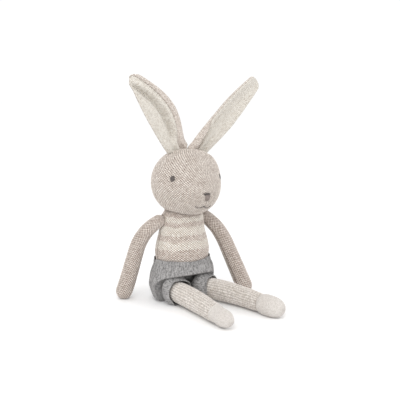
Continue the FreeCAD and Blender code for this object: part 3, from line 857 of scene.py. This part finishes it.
@dataclass
class Torso:
    """The stuffed body in striped moss knit, with a hollow for each arm and for the lap."""

    profile: tuple[tuple[float, float], ...] = (
        (1.4, 0.01), (1.4, 15.0), (1.6, 29.5), (2.6, 34.0), (5.9, 37.3), (10.4, 38.5), (24.0, 41.0),
        (40.0, 37.8), (51.5, 35.2), (62.0, 36.4), (72.0, 35.2), (82.0, 32.6), (96.0, 29.0),
        (106.9, 26.9), (115.4, 21.6), (121.1, 14.5), (124.0, 7.5), (125.0, 0.01))
    depth: float = 0.78
    waist: float = 47.0
    shoulder: tuple[float, float, float] = (35.4, 0.0, 103.0)
    socket: float = 8.8
    stitches_round: int = 56
    stitch_depth: float = 0.5
    stripes: tuple[tuple[float, float], ...] = ((102.4, 108.6), (85.5, 96.4), (68.2, 78.2))
    slack: float = 0.7

    def profile_line(self) -> Points:
        """Height, half width and length along the side, closely spaced."""
        line = spline([(z, half) for z, half in self.profile], 400)
        arc = np.concatenate([[0], np.cumsum(np.linalg.norm(np.diff(line, axis=0), axis=1))])
        return np.column_stack([line, arc])

    def surface(self, turn: Points, arc: Points, line: Points, inset: float) -> Points:
        """Points of the torso's side at turns round Z and lengths along the profile."""
        z = np.interp(arc, line[:, 2], line[:, 0])
        half = np.maximum(np.interp(arc, line[:, 2], line[:, 1]) - inset, 0)
        rise = np.clip((z - NECK[2]) / 19.4, 0, 1)
        deep = half * (self.depth + (1 - self.depth) * rise)
        z = np.where(z < 10, z + inset, np.where(z > 110, z - inset, z))
        return np.stack([half * np.cos(turn), deep * np.sin(turn), z], 1)

    def clear(self, co: Points) -> Points:
        """Keeps points out of the lap and of the arms' sockets."""
        co = co.copy()
        co[:, 1] = np.maximum(co[:, 1], lap_wall(co[:, 2], 2.0))
        for side in Side:
            middle = np.array(self.shoulder) * (side.value, 1, 1)
            d = co - middle
            far = np.linalg.norm(d, axis=1, keepdims=True)
            co = middle + d * np.maximum(1, self.socket / np.maximum(far, 1e-9))
        return co

    def build(self) -> None:
        """Makes the torso's knitting."""
        obj = ball("torso_knit", 96, 58)
        turn, share = ball_places(obj)
        line = self.profile_line()
        waist_arc = float(np.interp(self.waist, line[20:, 0], line[20:, 2]))
        arc = np.interp(share, [0, 0.17, 1], [0, waist_arc, line[-1, 2]])
        co = self.clear(self.surface(turn, arc, line, self.slack))
        place_points(obj, co)
        note(obj, "arc", arc)
        note(obj, "turn_x", np.cos(turn))
        note(obj, "turn_y", np.sin(turn))
        near_arm = np.min([np.linalg.norm(co - np.array(self.shoulder) * (s.value, 1, 1), axis=1)
                           for s in Side], axis=0)
        held = np.where((co[:, 2] < self.waist + 7) | (co[:, 2] > 112) | (near_arm < 15), 1.0, 0.0)
        stuff(obj, held, 1.4)
        apply(obj, "SUBSURF", levels=2, render_levels=2)
        place_points(obj, self.clear(points_of(obj)))
        co = points_of(obj)
        for side in Side:
            far = np.linalg.norm(co - np.array(self.shoulder) * (side.value, 1, 1), axis=1)
            co = co + normals_of(obj) * (1.2 * bump(far, 11.5, 3.4))[:, None]
        co = self.clear(co)
        place_points(obj, co)
        turn = np.arctan2(noted(obj, "turn_y"), noted(obj, "turn_x"))
        u = turn / (2 * math.pi) * self.stitches_round * MOSS_WIDE
        v = noted(obj, "arc")
        height = relief(Stitch.MOSS, u, v)
        seam = sum(np.exp(-((np.abs(np.angle(np.exp(1j * (turn - at)))) * 34) / 0.9) ** 2)
                   for at in (0, math.pi))
        height = height * (1 - 0.8 * seam)
        visible = smoothstep(self.waist - 2, self.waist + 3, co[:, 2])
        rise = (self.stitch_depth * height - 0.8 * seam) * visible
        wander = 0.5 * np.sin(turn * 5) + 0.4 * np.sin(turn * 11 + 1) + 1.1 * height
        cream = np.zeros(len(co))
        for low, high in self.stripes:
            cream += smoothstep(low - 1.3, low + 1.3, co[:, 2] + wander) \
                - smoothstep(high - 1.3, high + 1.3, co[:, 2] + wander)
        note(obj, "stripe", np.clip(cream, 0, 1))
        # the seam is noted lower still, so that the material paints more shade into its groove
        note(obj, "height", height - 1.2 * seam)
        place_points(obj, co + normals_of(obj) * rise[:, None])
        write_uv(obj, u, v, self.stitches_round * MOSS_WIDE)
        finish_piece(obj, STRIPED_KNIT.material(),
                     ["torso_front_panel", "torso_back_panel", "torso_stuffing"])
        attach(obj, "torso")


# ---------------------------------------------------------------- limbs
def bent_line(start: float, end: float, bend: float, along: Points) -> tuple[Points, Points, Points]:
    """Distance ahead and aside, and the angle, along a line that bends from one angle to another."""
    radius = bend / (end - start)
    angle = start + (end - start) * np.clip(along, 0, bend) / bend
    straight = np.where(along > bend, along - bend, np.minimum(along, 0))
    ahead = radius * (np.sin(angle) - math.sin(start)) + straight * np.cos(angle)
    aside = radius * (math.cos(start) - np.cos(angle)) + straight * np.sin(angle)
    return ahead, aside, angle


@dataclass
class Tube:
    """A stuffed tube along a line, closed at both ends: a profile of lengths and radii.

    Attributes:
        line: Gives centres and directions for lengths along the limb.
        profile: Lengths and radii, from one pole to the other.
    """

    line: Callable[[Points], tuple[Points, Points]]
    profile: list[tuple[float, float]]

    def places(self, share: Points, inset: float) -> tuple[Points, Points, Points]:
        """Length along the limb, radius and length along the cloth at shares from pole to pole."""
        dense = spline(self.profile, 500)
        arc = np.concatenate([[0], np.cumsum(np.linalg.norm(np.diff(dense, axis=0), axis=1))])
        at = share * arc[-1]
        along = np.interp(at, arc, dense[:, 0])
        radius = np.interp(at, arc, dense[:, 1])
        full = np.maximum(radius, 0)
        return along, np.maximum(full - inset * smoothstep(0, 4, full), 0), at

    def surface(self, turn: Points, share: Points, inset: float = 0) -> tuple[Points, Points, Points]:
        """Points, length along the limb and length along the cloth; turn 0 is to the side."""
        along, radius, at = self.places(share, inset)
        centre, ahead = self.line(along)
        across = unit(np.cross([0, 0, 1], ahead))
        up = np.cross(ahead, across)
        co = centre + across * (radius * np.cos(turn))[:, None] + up * (radius * np.sin(turn))[:, None]
        return co, along, at


def round_end(at: float, radius: float, sign: int) -> list[tuple[float, float]]:
    """A quarter circle of lengths and radii that closes a tube at its start (-1) or end (+1)."""
    turns = [math.radians(a) for a in (90, 70, 50, 30, 14)]
    run = [(at + sign * radius * math.sin(a), max(radius * math.cos(a), 0.01)) for a in turns]
    return run if sign < 0 else run[::-1]


def flat_end(at: float, radius: float, sign: int) -> list[tuple[float, float]]:
    """A seam's end of a tube: the edge turns in over a small radius and a disc closes it."""
    run = [(at, 0.01), (at, radius * 0.5), (at, radius - 1.6), (at - sign * 0.35, radius - 0.7),
           (at - sign * 1.1, radius - 0.2)]
    return run if sign < 0 else run[::-1]


@dataclass
class KnitTube:
    """One knitted tube: simulated filling, stitches, map, material."""

    name: str
    tube: Tube
    finish: KnitFinish
    stitch: Stitch
    stitches_round: int
    wide: float
    segments: int
    rings: int
    depth: float
    swell: float = 1.2
    seam_at: float | None = None
    held_below: float = 10.0
    held_above: float = 1e3
    shape: Callable[[Points, Points, Points], Points] | None = None

    def build(self, nodes: list[str]) -> bpy.types.Object:
        """Makes the tube and returns it without a parent."""
        obj = ball(self.name, self.segments, self.rings)
        turn, share = ball_places(obj)
        co, along, at = self.tube.surface(turn, share, 0.6)
        place_points(obj, co)
        note(obj, "at", at)
        note(obj, "along", along)
        note(obj, "turn_x", np.cos(turn))
        note(obj, "turn_y", np.sin(turn))
        held = np.where((along < self.held_below) | (along > self.held_above), 1.0, 0.0)
        stuff(obj, held, self.swell)
        apply(obj, "SUBSURF", levels=2, render_levels=2)
        turn = np.arctan2(noted(obj, "turn_y"), noted(obj, "turn_x"))
        v, along = noted(obj, "at"), noted(obj, "along")
        u = turn / (2 * math.pi) * self.stitches_round * self.wide
        height = relief(self.stitch, u, v)
        rise = self.depth * height
        if self.seam_at is not None:
            off = np.angle(np.exp(1j * (turn - self.seam_at))) * 12
            seam = np.exp(-(off / 0.8) ** 2)
            rise = rise * (1 - 0.8 * seam) - 0.6 * seam
            # the seam is noted lower still, so that the material paints more shade into its groove
            height = height - 1.2 * seam
        note(obj, "height", height)
        co = points_of(obj)
        if self.shape is not None:
            co = self.shape(co, along, turn)
            place_points(obj, co)
        co = co + normals_of(obj) * rise[:, None]
        co[:, 2] = np.maximum(co[:, 2], 0.15 + 0.12 * (height + 1))
        place_points(obj, co)
        write_uv(obj, u, v, self.stitches_round * self.wide)
        finish_piece(obj, self.finish.material(), nodes)
        return obj


# how far an arm's root is drawn against the torso, and the right hand inwards, in mm
ROOT_PULL = 2.0
HAND_PULL = 4.0


@dataclass
class Arm:
    """One arm in moss knit, sewn on at the shoulder and resting on the floor."""

    side: Side
    radius: float = 10.3
    root: float = 8.4
    hand: float = 11.0
    rest: float = 10.3
    length: float = 106.0
    bend: float = 46.0
    shoulder: tuple[float, float, float] = (35.4, 0.0, 103.0)
    start: dict = field(default_factory=lambda: {Side.RIGHT: 37.0, Side.LEFT: 43.0})
    heading: dict = field(default_factory=lambda: {Side.RIGHT: 42.0, Side.LEFT: -28.0})

    def centre(self) -> Points:
        """The shoulder's centre."""
        return np.array(self.shoulder) * (self.side.value, 1, 1)

    def end_angle(self) -> float:
        """The angle below level at the hand that lets it rest on the floor."""
        start = math.radians(self.start[self.side])
        low, high = start + 0.01, math.radians(88)
        for _ in range(40):
            middle = (low + high) / 2
            down = bent_line(start, middle, self.bend, np.array([self.length]))[1][0]
            low, high = (middle, high) if down < self.shoulder[2] - self.rest else (low, middle)
        return low

    def line(self, along: Points) -> tuple[Points, Points]:
        """Centres and directions of the arm."""
        out, down, angle = bent_line(math.radians(self.start[self.side]), self.end_angle(), self.bend,
                                     np.asarray(along, float))
        heading = math.radians(self.heading[self.side])
        level = np.array([self.side.value * math.cos(heading), math.sin(heading), 0])
        fall = np.array([0, 0, -1.0])
        centre = self.centre() + np.outer(out, level) + np.outer(down, fall)
        return centre, unit(np.outer(np.cos(angle), level) + np.outer(np.sin(angle), fall))

    def settled(self, co: Points, along: Points, turn: Points) -> Points:
        """Draws the arm's root against the torso and its hand a little inwards."""
        root = ROOT_PULL * smoothstep(22, -4, along)
        hand = HAND_PULL * smoothstep(30, self.length, along) * (self.side is Side.RIGHT)
        co = co.copy()
        co[:, 0] -= self.side.value * (root + hand)
        return co

    def build(self) -> None:
        """Makes the arm."""
        profile = (round_end(0, self.root, -1)
                   + [(0, self.root), (14, self.radius - 0.9), (self.bend, self.radius),
                      (self.length - 14, self.hand), (self.length, self.hand)]
                   + round_end(self.length, self.hand, 1))
        word = self.side.word
        knit = KnitTube(word + "_arm_knit", Tube(self.line, profile), LIMB_KNIT, Stitch.MOSS, 18, MOSS_WIDE,
                        32, 64, 0.48, seam_at=math.pi * 1.25, held_below=4, shape=self.settled)
        obj = knit.build([word + "_arm_skin", word + "_arm_stuffing"])
        centre = self.centre()
        outer, _ = self.line(np.array([18.0]))
        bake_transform(obj)


@dataclass
class Leg:
    """One leg in ribbed knit with a fine off-white toe cap."""

    side: Side
    hip_x: float = 20.0
    hip: tuple[float, float] = (-22.0, 16.0)
    thigh: float = 13.4
    ankle: float = 11.8
    foot: float = 12.0
    rest: float = 11.4
    length: float = 113.0
    bend: float = 60.0
    toe_cap: float = 24.0
    turn_hip: dict = field(default_factory=lambda: {Side.RIGHT: -8.0, Side.LEFT: 36.0})
    turn_toe: dict = field(default_factory=lambda: {Side.RIGHT: 1.0, Side.LEFT: 13.0})

    def hip_centre(self) -> Points:
        """The centre of the hip."""
        return np.array([self.side.value * self.hip_x, *self.hip])

    def line(self, along: Points) -> tuple[Points, Points]:
        """Centres and directions of the leg."""
        along = np.asarray(along, float)
        out, aside, angle = bent_line(math.radians(self.turn_hip[self.side]),
                                      math.radians(self.turn_toe[self.side]), self.bend, along)
        fall = (self.hip[1] - self.rest) / self.length
        s = self.side.value
        centre = self.hip_centre() + np.stack([s * aside, -out, -fall * along], 1)
        return centre, unit(np.stack([s * np.sin(angle), -np.cos(angle), np.full(len(along), -fall)], 1))

    def build(self) -> None:
        """Makes the leg and its toe cap."""
        word = self.side.word
        seam = self.length - self.toe_cap
        shank = (round_end(0, self.thigh, -1) + [(0, self.thigh), (34, self.thigh), (60, 12.6),
                 (seam - 6, self.ankle)] + flat_end(seam - 0.15, self.ankle - 0.1, 1))
        knit = KnitTube(word + "_leg_knit", Tube(self.line, shank), RIB_KNIT, Stitch.RIB, 24, RIB_WIDE,
                        44, 44, 0.36, swell=1.0, seam_at=-math.pi / 2, held_below=12, held_above=seam - 2)
        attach(knit.build([word + "_leg_skin", word + "_leg_stuffing"]), word + "_leg")
        full = 13.2 if self.side is Side.LEFT else 10.9
        tip = [(self.length + 12.6, 0.01), (self.length + 11.4, 3.5), (self.length + 7.6, 6.9),
               (self.length + 1.5, 9.7)]
        blunt = round_end(self.length, self.foot, 1)
        toe = (flat_end(seam + 0.15, self.ankle + 0.1, -1) + [(seam + 7, full), (self.length - 4, full)]
               + (blunt if self.side is Side.LEFT else tip[::-1]))
        cap = KnitTube(word + "_toe_knit", Tube(self.line, toe), TOE_KNIT, Stitch.PLAIN, 50, 1.5,
                       44, 26, 0.14, swell=1.2, seam_at=math.pi * 0.02, held_below=seam + 2)
        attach(cap.build([word + "_toe_cap"]), word + "_leg")


# ---------------------------------------------------------------- ears
@dataclass
class Ear:
    """One ear: a puffy cream front and a taupe back that rolls round its inner edge."""

    side: Side
    base_x: float = 16.0
    base_y: float = -4.0
    lift: float = 5.0
    length: float = 112.0
    wide: float = 40.0
    base_wide: dict = field(default_factory=lambda: {Side.RIGHT: 29.0, Side.LEFT: 34.0})
    tip_wide: dict = field(default_factory=lambda: {Side.RIGHT: 14.0, Side.LEFT: 23.0})
    bow: dict = field(default_factory=lambda: {Side.RIGHT: 4.5, Side.LEFT: 4.0})
    cup: float = 0.2
    thick: float = 2.4
    lean: dict = field(default_factory=lambda: {Side.RIGHT: 39.6, Side.LEFT: 40.2})
    forward: dict = field(default_factory=lambda: {Side.RIGHT: 10.5, Side.LEFT: 7.0})
    face: dict = field(default_factory=lambda: {Side.RIGHT: 0.0, Side.LEFT: 24.0})
    band: dict = field(default_factory=lambda: {Side.RIGHT: (11.5, 9.0, 6.8, 6.5, 4.0),
                                                Side.LEFT: (19.0, 12.5, 1.4, 1.0, 0.8)})
    root_aside: dict = field(default_factory=lambda: {Side.RIGHT: 1.5, Side.LEFT: -4.0})
    root: float = -0.11
    around: int = 96
    lengthwise: int = 84

    def base(self) -> Points:
        """The middle of the ear's hinge line, before the head leans."""
        head = Head()
        x = self.side.value * self.base_x
        rise = head.half_height * math.sqrt(1 - (x / head.half_width) ** 2)
        return np.array([x, self.base_y, head.centre[2] + rise + self.lift])

    def axes(self) -> tuple[Points, Points, Points]:
        """Along the ear, across it towards the head's middle, and out of its hollow."""
        lean, forward = math.radians(self.lean[self.side]), math.radians(self.forward[self.side])
        s = self.side.value
        along = np.array([s * math.sin(lean) * math.cos(forward), -math.sin(forward),
                          math.cos(lean) * math.cos(forward)])
        ahead = unit(np.array([0, -1.0, 0]) - along * math.sin(forward))
        turn = s * math.radians(self.face[self.side])
        hollow = ahead * math.cos(turn) + np.cross(along, ahead) * math.sin(turn)
        return along, np.cross(along, hollow) * -s, hollow

    def half(self, share: Points) -> Points:
        """Half the ear's width at shares of its length."""
        rise = np.sin(math.pi / 2 * np.clip(share, 0, 0.42) / 0.42)
        base, tip = self.base_wide[self.side], self.tip_wide[self.side]
        low = base + (self.wide - base) * rise
        fall = 1 - np.cos(math.pi / 2 * np.clip((share - 0.42) / 0.58, 0, 1))
        high = self.wide - (self.wide - tip) * fall
        half = np.where(share < 0.42, low, high) / 2
        past = np.clip((share - 0.955) / 0.065, 0, 1)
        return half * np.sqrt(np.maximum(1 - past ** 2, 0))

    def depth(self, x: Points, share: Points, half: Points) -> Points:
        """How far the cloth's middle stands towards the hollow, at places across the ear."""
        hat = x / np.maximum(half, 1e-6)
        grow = 0.4 + 0.6 * np.clip(share / 0.42, 0, 1)
        full = smoothstep(1.03, 0.86, share)
        cupped = 2 * half * self.cup * grow * hat ** 2
        if self.side is Side.RIGHT:
            ridge = 3.0 * bump(x, half - 10.5, 3.6) - 5.6 * bump(x, half - 16.5, 2.8)
        else:
            ridge = (1.8 * bump(x, half - 7.0, 4.0)
                     - 2.6 * bump(x, half - 13.0, 3.2) * smoothstep(0.75, 0.2, share))
        gathers = smoothstep(0.3, 0.02, share) * 1.6 * np.cos(hat * 3.2 * math.pi)
        return cupped + (ridge * smoothstep(-0.05, 0.16, share) * full + gathers)

    def puff(self, x: Points, half: Points) -> Points:
        """Half the padding's thickness at places across the ear."""
        hat = np.clip(np.abs(x) / np.maximum(half, 1e-6), 0, 1)
        edge = np.clip((half - np.abs(x)) / 2.6, 0, 1)
        return (self.thick + 0.5 * (1 - hat ** 2)) * np.sqrt(np.maximum(1 - (1 - edge) ** 2, 0))

    def outline(self, share: float, front: bool) -> tuple[Points, Points]:
        """One ring of a layer: places across and depths, evenly spaced round its closed outline."""
        half = float(self.half(np.array([share]))[0])
        band = float(np.interp(share, [0.0, 0.16, 0.3, 0.6, 1.0], self.band[self.side]))
        seam = half - min(band, half * 0.9)
        edge = half - 0.02
        fine = np.sin(np.linspace(-math.pi / 2, math.pi / 2, 90))
        across = fine * edge
        ones = np.full(len(across), share)
        mid = self.depth(across, ones, np.full(len(across), half))
        puff = self.puff(across, np.full(len(across), half))
        if front:
            xs = across[across < seam]
            top = np.stack([xs, (mid + puff)[across < seam]], 1)
            top[-1, 0] = seam
            bottom = np.stack([xs, mid[across < seam] + 0.1], 1)[::-1]
            top[:, 1] = np.maximum(top[:, 1], bottom[::-1, 1] + 0.05)
            dip = bump(top[:, 0], seam, 1.2)
            top[:, 1] -= dip * 1.1 * np.minimum(1, (top[:, 1] - bottom[::-1, 1]))
            loop = np.vstack([top, bottom])
        else:
            chord = np.stack([across, mid - 0.1], 1)[across < seam]
            wrap = np.stack([across, mid + puff], 1)[across >= seam]
            wrap[:, 1] -= bump(wrap[:, 0], seam, 1.2) * 1.0
            under = np.stack([across, mid - puff - 0.12], 1)[::-1]
            loop = np.vstack([chord, wrap, under])
        closed = np.vstack([loop, loop[:1]])
        arc = np.concatenate([[0], np.cumsum(np.linalg.norm(np.diff(closed, axis=0), axis=1))])
        at = np.linspace(0, arc[-1], self.around, endpoint=False)
        return np.stack([np.interp(at, arc, closed[:, k]) for k in range(2)], 1), at

    def layer(self, front: bool) -> bpy.types.Object:
        """Makes one layer of the ear."""
        word = self.side.word
        name = word + ("_ear_front" if front else "_ear_back")
        obj = ball(name, self.around, self.lengthwise)
        turn, share = ball_places(obj)
        ring = np.rint(share * self.lengthwise).astype(int)
        seat = np.rint(turn / (2 * math.pi) * self.around).astype(int) % self.around
        along, across, hollow = self.axes()
        base = self.base()
        co = np.zeros((len(turn), 3))
        us, vs = np.zeros(len(turn)), np.zeros(len(turn))
        tip = 1.018
        for k in range(self.lengthwise + 1):
            part = k / self.lengthwise
            at_share = self.root + (tip - self.root) * (1 - (1 - part) ** 1.12)
            flat, arc = self.outline(min(at_share, tip - 1e-4), front)
            here = ring == k
            if k in (0, self.lengthwise):
                flat = np.repeat(flat.mean(0)[None], self.around, 0)
            x, d = flat[seat[here], 0], flat[seat[here], 1]
            way = min(max(at_share, 0), 1)
            aside = (self.bow[self.side] * math.sin(math.pi * way)
                     + self.root_aside[self.side] * (1 - way) ** 3)
            co[here] = (base + along * (at_share * self.length) + np.outer(x + aside, across)
                        + np.outer(d, hollow))
            us[here], vs[here] = arc[seat[here]], at_share * self.length
        place_points(obj, co)
        note(obj, "u", us)
        note(obj, "v", vs)
        bpy.ops.object.select_all(action="DESELECT")
        only(obj)
        bpy.ops.object.mode_set(mode="EDIT")
        bpy.ops.mesh.select_all(action="SELECT")
        bpy.ops.mesh.normals_make_consistent(inside=False)
        bpy.ops.object.mode_set(mode="OBJECT")
        note(obj, "x", (co - base) @ across)
        apply(obj, "SUBSURF", levels=1, render_levels=1)
        co = points_of(obj)
        x, v = noted(obj, "x"), noted(obj, "v")
        height = relief(Stitch.ROWS, x * 1.02, v)
        note(obj, "height", height)
        shown = smoothstep(-0.13 * self.length, -0.06 * self.length, v)
        co = co + normals_of(obj) * (0.16 * height * shown)[:, None]
        place_points(obj, rolled(co))
        write_uv(obj, x + 100, v + 100)
        finish = EAR_FRONT_KNIT if front else EAR_BACK_KNIT
        node = word + ("_ear_front_layer" if front else "_ear_back_layer")
        finish_piece(obj, finish.material(), [node])
        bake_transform(obj)
        return obj

    def build(self) -> None:
        """Makes both layers."""
        self.layer(True)
        self.layer(False)


# ---------------------------------------------------------------- shorts
# the shorts' cloth: round the hips in mm, and its least height over the floor in mm
HIP_ROUND = 228.0
FLOOR_GAP = 0.05
# the notch in the waist's edge: its depth in mm, and its place and width in radians
NOTCH_DEEP, NOTCH_TURN, NOTCH_WIDE = 4.0, 3.0, 0.09
# the cuffs, in mm: where each hem lies from the hip, and how far each side fills out
CUFF_REACH = {Side.RIGHT: 7.0, Side.LEFT: 11.0}
CUFF_FILL = {"outer": 3.2, "inner": 3.4, "above": 4.6}


@dataclass
class Shorts:
    """Woven shorts: a body with a folded waist, and a loose leg on each side."""

    waist: float = 54.8
    hem: float = 7.0
    cloth: float = 0.9
    over: float = 1.5

    def body(self) -> None:
        """The part round the hips, open at the waist and hollow at the lap."""
        torso = Torso()
        line = torso.profile_line()
        obj = ball("shorts_body", 160, 96)
        turn, share = ball_places(obj)
        top_arc = float(np.interp(self.waist, line[20:, 0], line[20:, 2]))
        arc = np.minimum(share / 0.94, 1.05) * top_arc
        co = torso.surface(turn, arc, line, -self.over)
        z = co[:, 2]
        out = unit(np.stack([np.cos(turn), np.sin(turn) / torso.depth, np.zeros(len(turn))], 1))
        full = smoothstep(2, 14, z) * smoothstep(self.waist + 2, self.waist - 12, z)
        pleats = (0.55 * np.sin(turn * 9 + z / 9) + 0.4 * np.sin(turn * 17 - z / 6 + 1.3)
                  + 0.3 * np.sin(turn * 5 + z / 4.5))
        near_waist = bump(z, self.waist - 8.5, 4.0)
        gathers = 0.35 * np.sin(turn * 46 + 2 * np.sin(turn * 3)) * near_waist
        front = smoothstep(0.2, 0.8, -np.sin(turn))
        lip = 2.2 * front * bump(z, 37.5, 4.0)
        puff = 1.3 * full + pleats * full + gathers + lip
        band = 0.5 * smoothstep(self.waist - self.hem - 0.5, self.waist - self.hem + 0.3, z)
        groove = 0.5 * bump(z, self.waist - self.hem, 0.8)
        middle = np.exp(-((co[:, 0] / 0.9) ** 2)) * 1.0
        low_right = bump(turn, 3.9, 0.55) + bump(turn + 2 * math.pi, 3.9, 0.55)
        slants = 1.0 * np.sin((turn * 34 - z) * 2 * math.pi / 15) * low_right * smoothstep(44, 30, z) * full
        co = co + out * (puff + slants + band - groove - middle)[:, None]
        scoop = 1.4 * np.cos(turn * 2) + 0.6 * np.sin(turn * 5) + 0.35 * np.sin(turn * 13)
        notch = NOTCH_DEEP * bump(np.angle(np.exp(1j * (turn - NOTCH_TURN))), 0, NOTCH_WIDE)
        co[:, 2] += (0.6 * scoop - notch) * smoothstep(self.waist - 14, self.waist, z)
        co[:, 1] = np.maximum(co[:, 1], lap_wall(co[:, 2], 0.2))
        co[:, 2] = np.maximum(co[:, 2], 0.1)
        place_points(obj, co)
        note(obj, "turn_x", np.cos(turn))
        note(obj, "turn_y", np.sin(turn))
        note(obj, "arc", arc)
        self.open_end(obj, share > 0.945)
        apply(obj, "SOLIDIFY", thickness=self.cloth * MM, offset=-1)
        apply(obj, "SUBSURF", levels=1, render_levels=1)
        self.keep_above_floor(obj)
        turn = np.arctan2(noted(obj, "turn_y"), noted(obj, "turn_x"))
        write_uv(obj, turn / (2 * math.pi) * HIP_ROUND, noted(obj, "arc"), HIP_ROUND)
        finish_piece(obj, CHAMBRAY.material(),
                     ["shorts_left_panel", "shorts_right_panel", "shorts_waist_hem"])
        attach(obj, "torso")

    @staticmethod
    def keep_above_floor(obj: bpy.types.Object) -> None:
        """Lifts the points that would lie under the floor."""
        co = points_of(obj)
        co[:, 2] = np.maximum(co[:, 2], FLOOR_GAP)
        place_points(obj, co)

    @staticmethod
    def one_side_area(obj: bpy.types.Object) -> float:
        """Half the area of a closed sheet, in square metres."""
        return sum(p.area for p in obj.data.polygons) / 2

    @staticmethod
    def open_end(obj: bpy.types.Object, chosen: Points) -> None:
        """Deletes the points past an opening."""
        only(obj)
        bpy.ops.object.mode_set(mode="EDIT")
        bpy.ops.mesh.select_all(action="DESELECT")
        bpy.ops.object.mode_set(mode="OBJECT")
        obj.data.vertices.foreach_set("select", chosen)
        bpy.ops.object.mode_set(mode="EDIT")
        bpy.ops.mesh.select_mode(type="VERT")
        bpy.ops.object.mode_set(mode="OBJECT")
        obj.data.vertices.foreach_set("select", chosen)
        bpy.ops.object.mode_set(mode="EDIT")
        bpy.ops.mesh.delete(type="VERT")
        bpy.ops.object.mode_set(mode="OBJECT")

    def leg(self, side: Side) -> None:
        """One loose leg of the shorts, closed behind the thigh and open at the cuff."""
        leg = Leg(side)
        radius = leg.thigh + 2.4
        reach = CUFF_REACH[side]
        profile = round_end(1.0, radius, -1) + [(1.0, radius), (reach * 0.55, radius + 0.3),
                                                (reach, radius + 0.5), (reach + 4, radius + 0.5)]
        obj = ball(side.word + "_shorts_cuff", 96, 60)
        turn, share = ball_places(obj)
        tube = Tube(leg.line, profile)
        co, along, at = tube.surface(turn, share)
        centre, ahead = leg.line(along)
        out = unit(co - centre)
        flare = smoothstep(2, reach, along)
        s = side.value
        outer = np.clip(np.cos(turn) * -s, 0, 1)
        waves = (0.7 * np.sin(turn * 3 + 0.8 + s) + 0.5 * np.sin(turn * 5 + 2.1 * s)
                 + 0.3 * np.sin(turn * 9 + along / 3)) * flare
        hem = 0.25 * smoothstep(reach - 4.5, reach - 3.8, along) - 0.2 * bump(along, reach - 4.4, 0.7)
        side_fill = CUFF_FILL["outer"] * outer * smoothstep(10, -6, along)
        inner = CUFF_FILL["inner"] * np.clip(np.cos(turn) * s, 0, 1) * smoothstep(9, -3, along)
        above = CUFF_FILL["above"] * np.clip(np.sin(turn), 0, 1) * smoothstep(8, -6, along)
        co = co + out * (waves + hem + side_fill + inner + above)[:, None]
        co = co + ahead * (1.2 * np.sin(turn * 2 + 0.6) * flare)[:, None]
        co[:, 2] = np.maximum(co[:, 2], 0.1)
        place_points(obj, co)
        note(obj, "turn_x", np.cos(turn))
        note(obj, "turn_y", np.sin(turn))
        note(obj, "arc", at)
        self.open_end(obj, along > reach)
        apply(obj, "SOLIDIFY", thickness=self.cloth * MM, offset=-1)
        apply(obj, "SUBSURF", levels=1, render_levels=1)
        self.keep_above_floor(obj)
        turn = np.arctan2(noted(obj, "turn_y"), noted(obj, "turn_x"))
        write_uv(obj, turn * radius, noted(obj, "arc"), 2 * math.pi * radius)
        finish_piece(obj, CHAMBRAY.material(), [side.word + "_shorts_leg"])
        start, end = leg.line(np.array([-2.0, 13.0]))[0]
        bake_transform(obj)


# ---------------------------------------------------------------- threads kept from the frame
@dataclass
class ClosingThreads:
    """The threads that close the neck and the shoulders: the frame's own rings, given a finish."""

    nodes: tuple[str, ...] = ("neck_seam_thread", "right_arm_seam_thread", "left_arm_seam_thread")

    def dress(self) -> None:
        """Gives the rings their thread."""
        material = SEWING.material()
        for name in self.nodes:
            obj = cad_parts[name]
            if not obj.material_slots:
                obj.data.materials.append(material)
            for slot in obj.material_slots:
                slot.material = material
            log.info("%s dressed", name)


# ---------------------------------------------------------------- studio
@dataclass
class Studio:
    """A pale floor, soft light all round and the camera."""

    azimuth: float = -29.93
    elevation: float = 10.36
    distance: float = 1001.14
    aim: tuple[float, float, float] = (-4.69, -53.77, 135.67)
    lens: float = 75.1
    floor_half: float = 4.0

    def build(self) -> None:
        """Sets up the studio."""
        scene = bpy.context.scene
        scene.view_settings.view_transform = "Standard"
        bpy.ops.object.select_all(action="DESELECT")
        bpy.ops.mesh.primitive_plane_add(size=2 * self.floor_half, location=(0, 0, -0.0001))
        floor = bpy.context.object
        floor.name = "studio_floor"
        floor.data.materials.append(FLOOR.material())
        world = bpy.data.worlds.new("studio")
        world.use_nodes = True
        sky = world.node_tree.nodes["Background"]
        sky.inputs["Color"].default_value = (1, 1, 1, 1)
        sky.inputs["Strength"].default_value = 1.05
        scene.world = world
        self.lamp("key", (-0.75, -0.85, 1.1), 0.9, 7.5)
        self.lamp("fill", (0.9, -0.7, 0.6), 1.0, 1.6)
        self.camera(scene)

    @staticmethod
    def lamp(name: str, place: tuple[float, float, float], size: float, watts: float) -> None:
        """A square soft lamp aimed at the doll."""
        bpy.ops.object.light_add(type="AREA", location=place)
        lamp = bpy.context.object
        lamp.name = name
        lamp.data.size = size
        lamp.data.energy = watts
        lamp.rotation_euler = (Vector((0, 0, 0.12)) - Vector(place)).to_track_quat("-Z", "Y").to_euler()

    def camera(self, scene: bpy.types.Scene) -> None:
        """The camera at the doll's front right."""
        a, e = math.radians(self.azimuth), math.radians(self.elevation)
        back = Vector((math.sin(a) * math.cos(e), -math.cos(a) * math.cos(e), math.sin(e)))
        data = bpy.data.cameras.new("camera")
        data.lens = self.lens
        data.sensor_width = 36
        data.clip_start = 0.05
        cam = bpy.data.objects.new("camera", data)
        scene.collection.objects.link(cam)
        cam.location = (Vector(self.aim) + back * self.distance) * MM
        cam.rotation_mode = "QUATERNION"
        cam.rotation_quaternion = (-back).to_track_quat("-Z", "Y")
        scene.camera = cam


def main() -> None:
    """Builds the studio and every sub-assembly in order."""
    logging.basicConfig(level=logging.INFO, format="%(message)s")
    Studio().build()
    Torso().build()
    Head().build()
    for side in Side:
        Ear(side).build()
        Arm(side).build()
        Leg(side).build()
    shorts = Shorts()
    shorts.body()
    for side in Side:
        shorts.leg(side)
    ClosingThreads().dress()


if __name__ == "__main__":
    main()
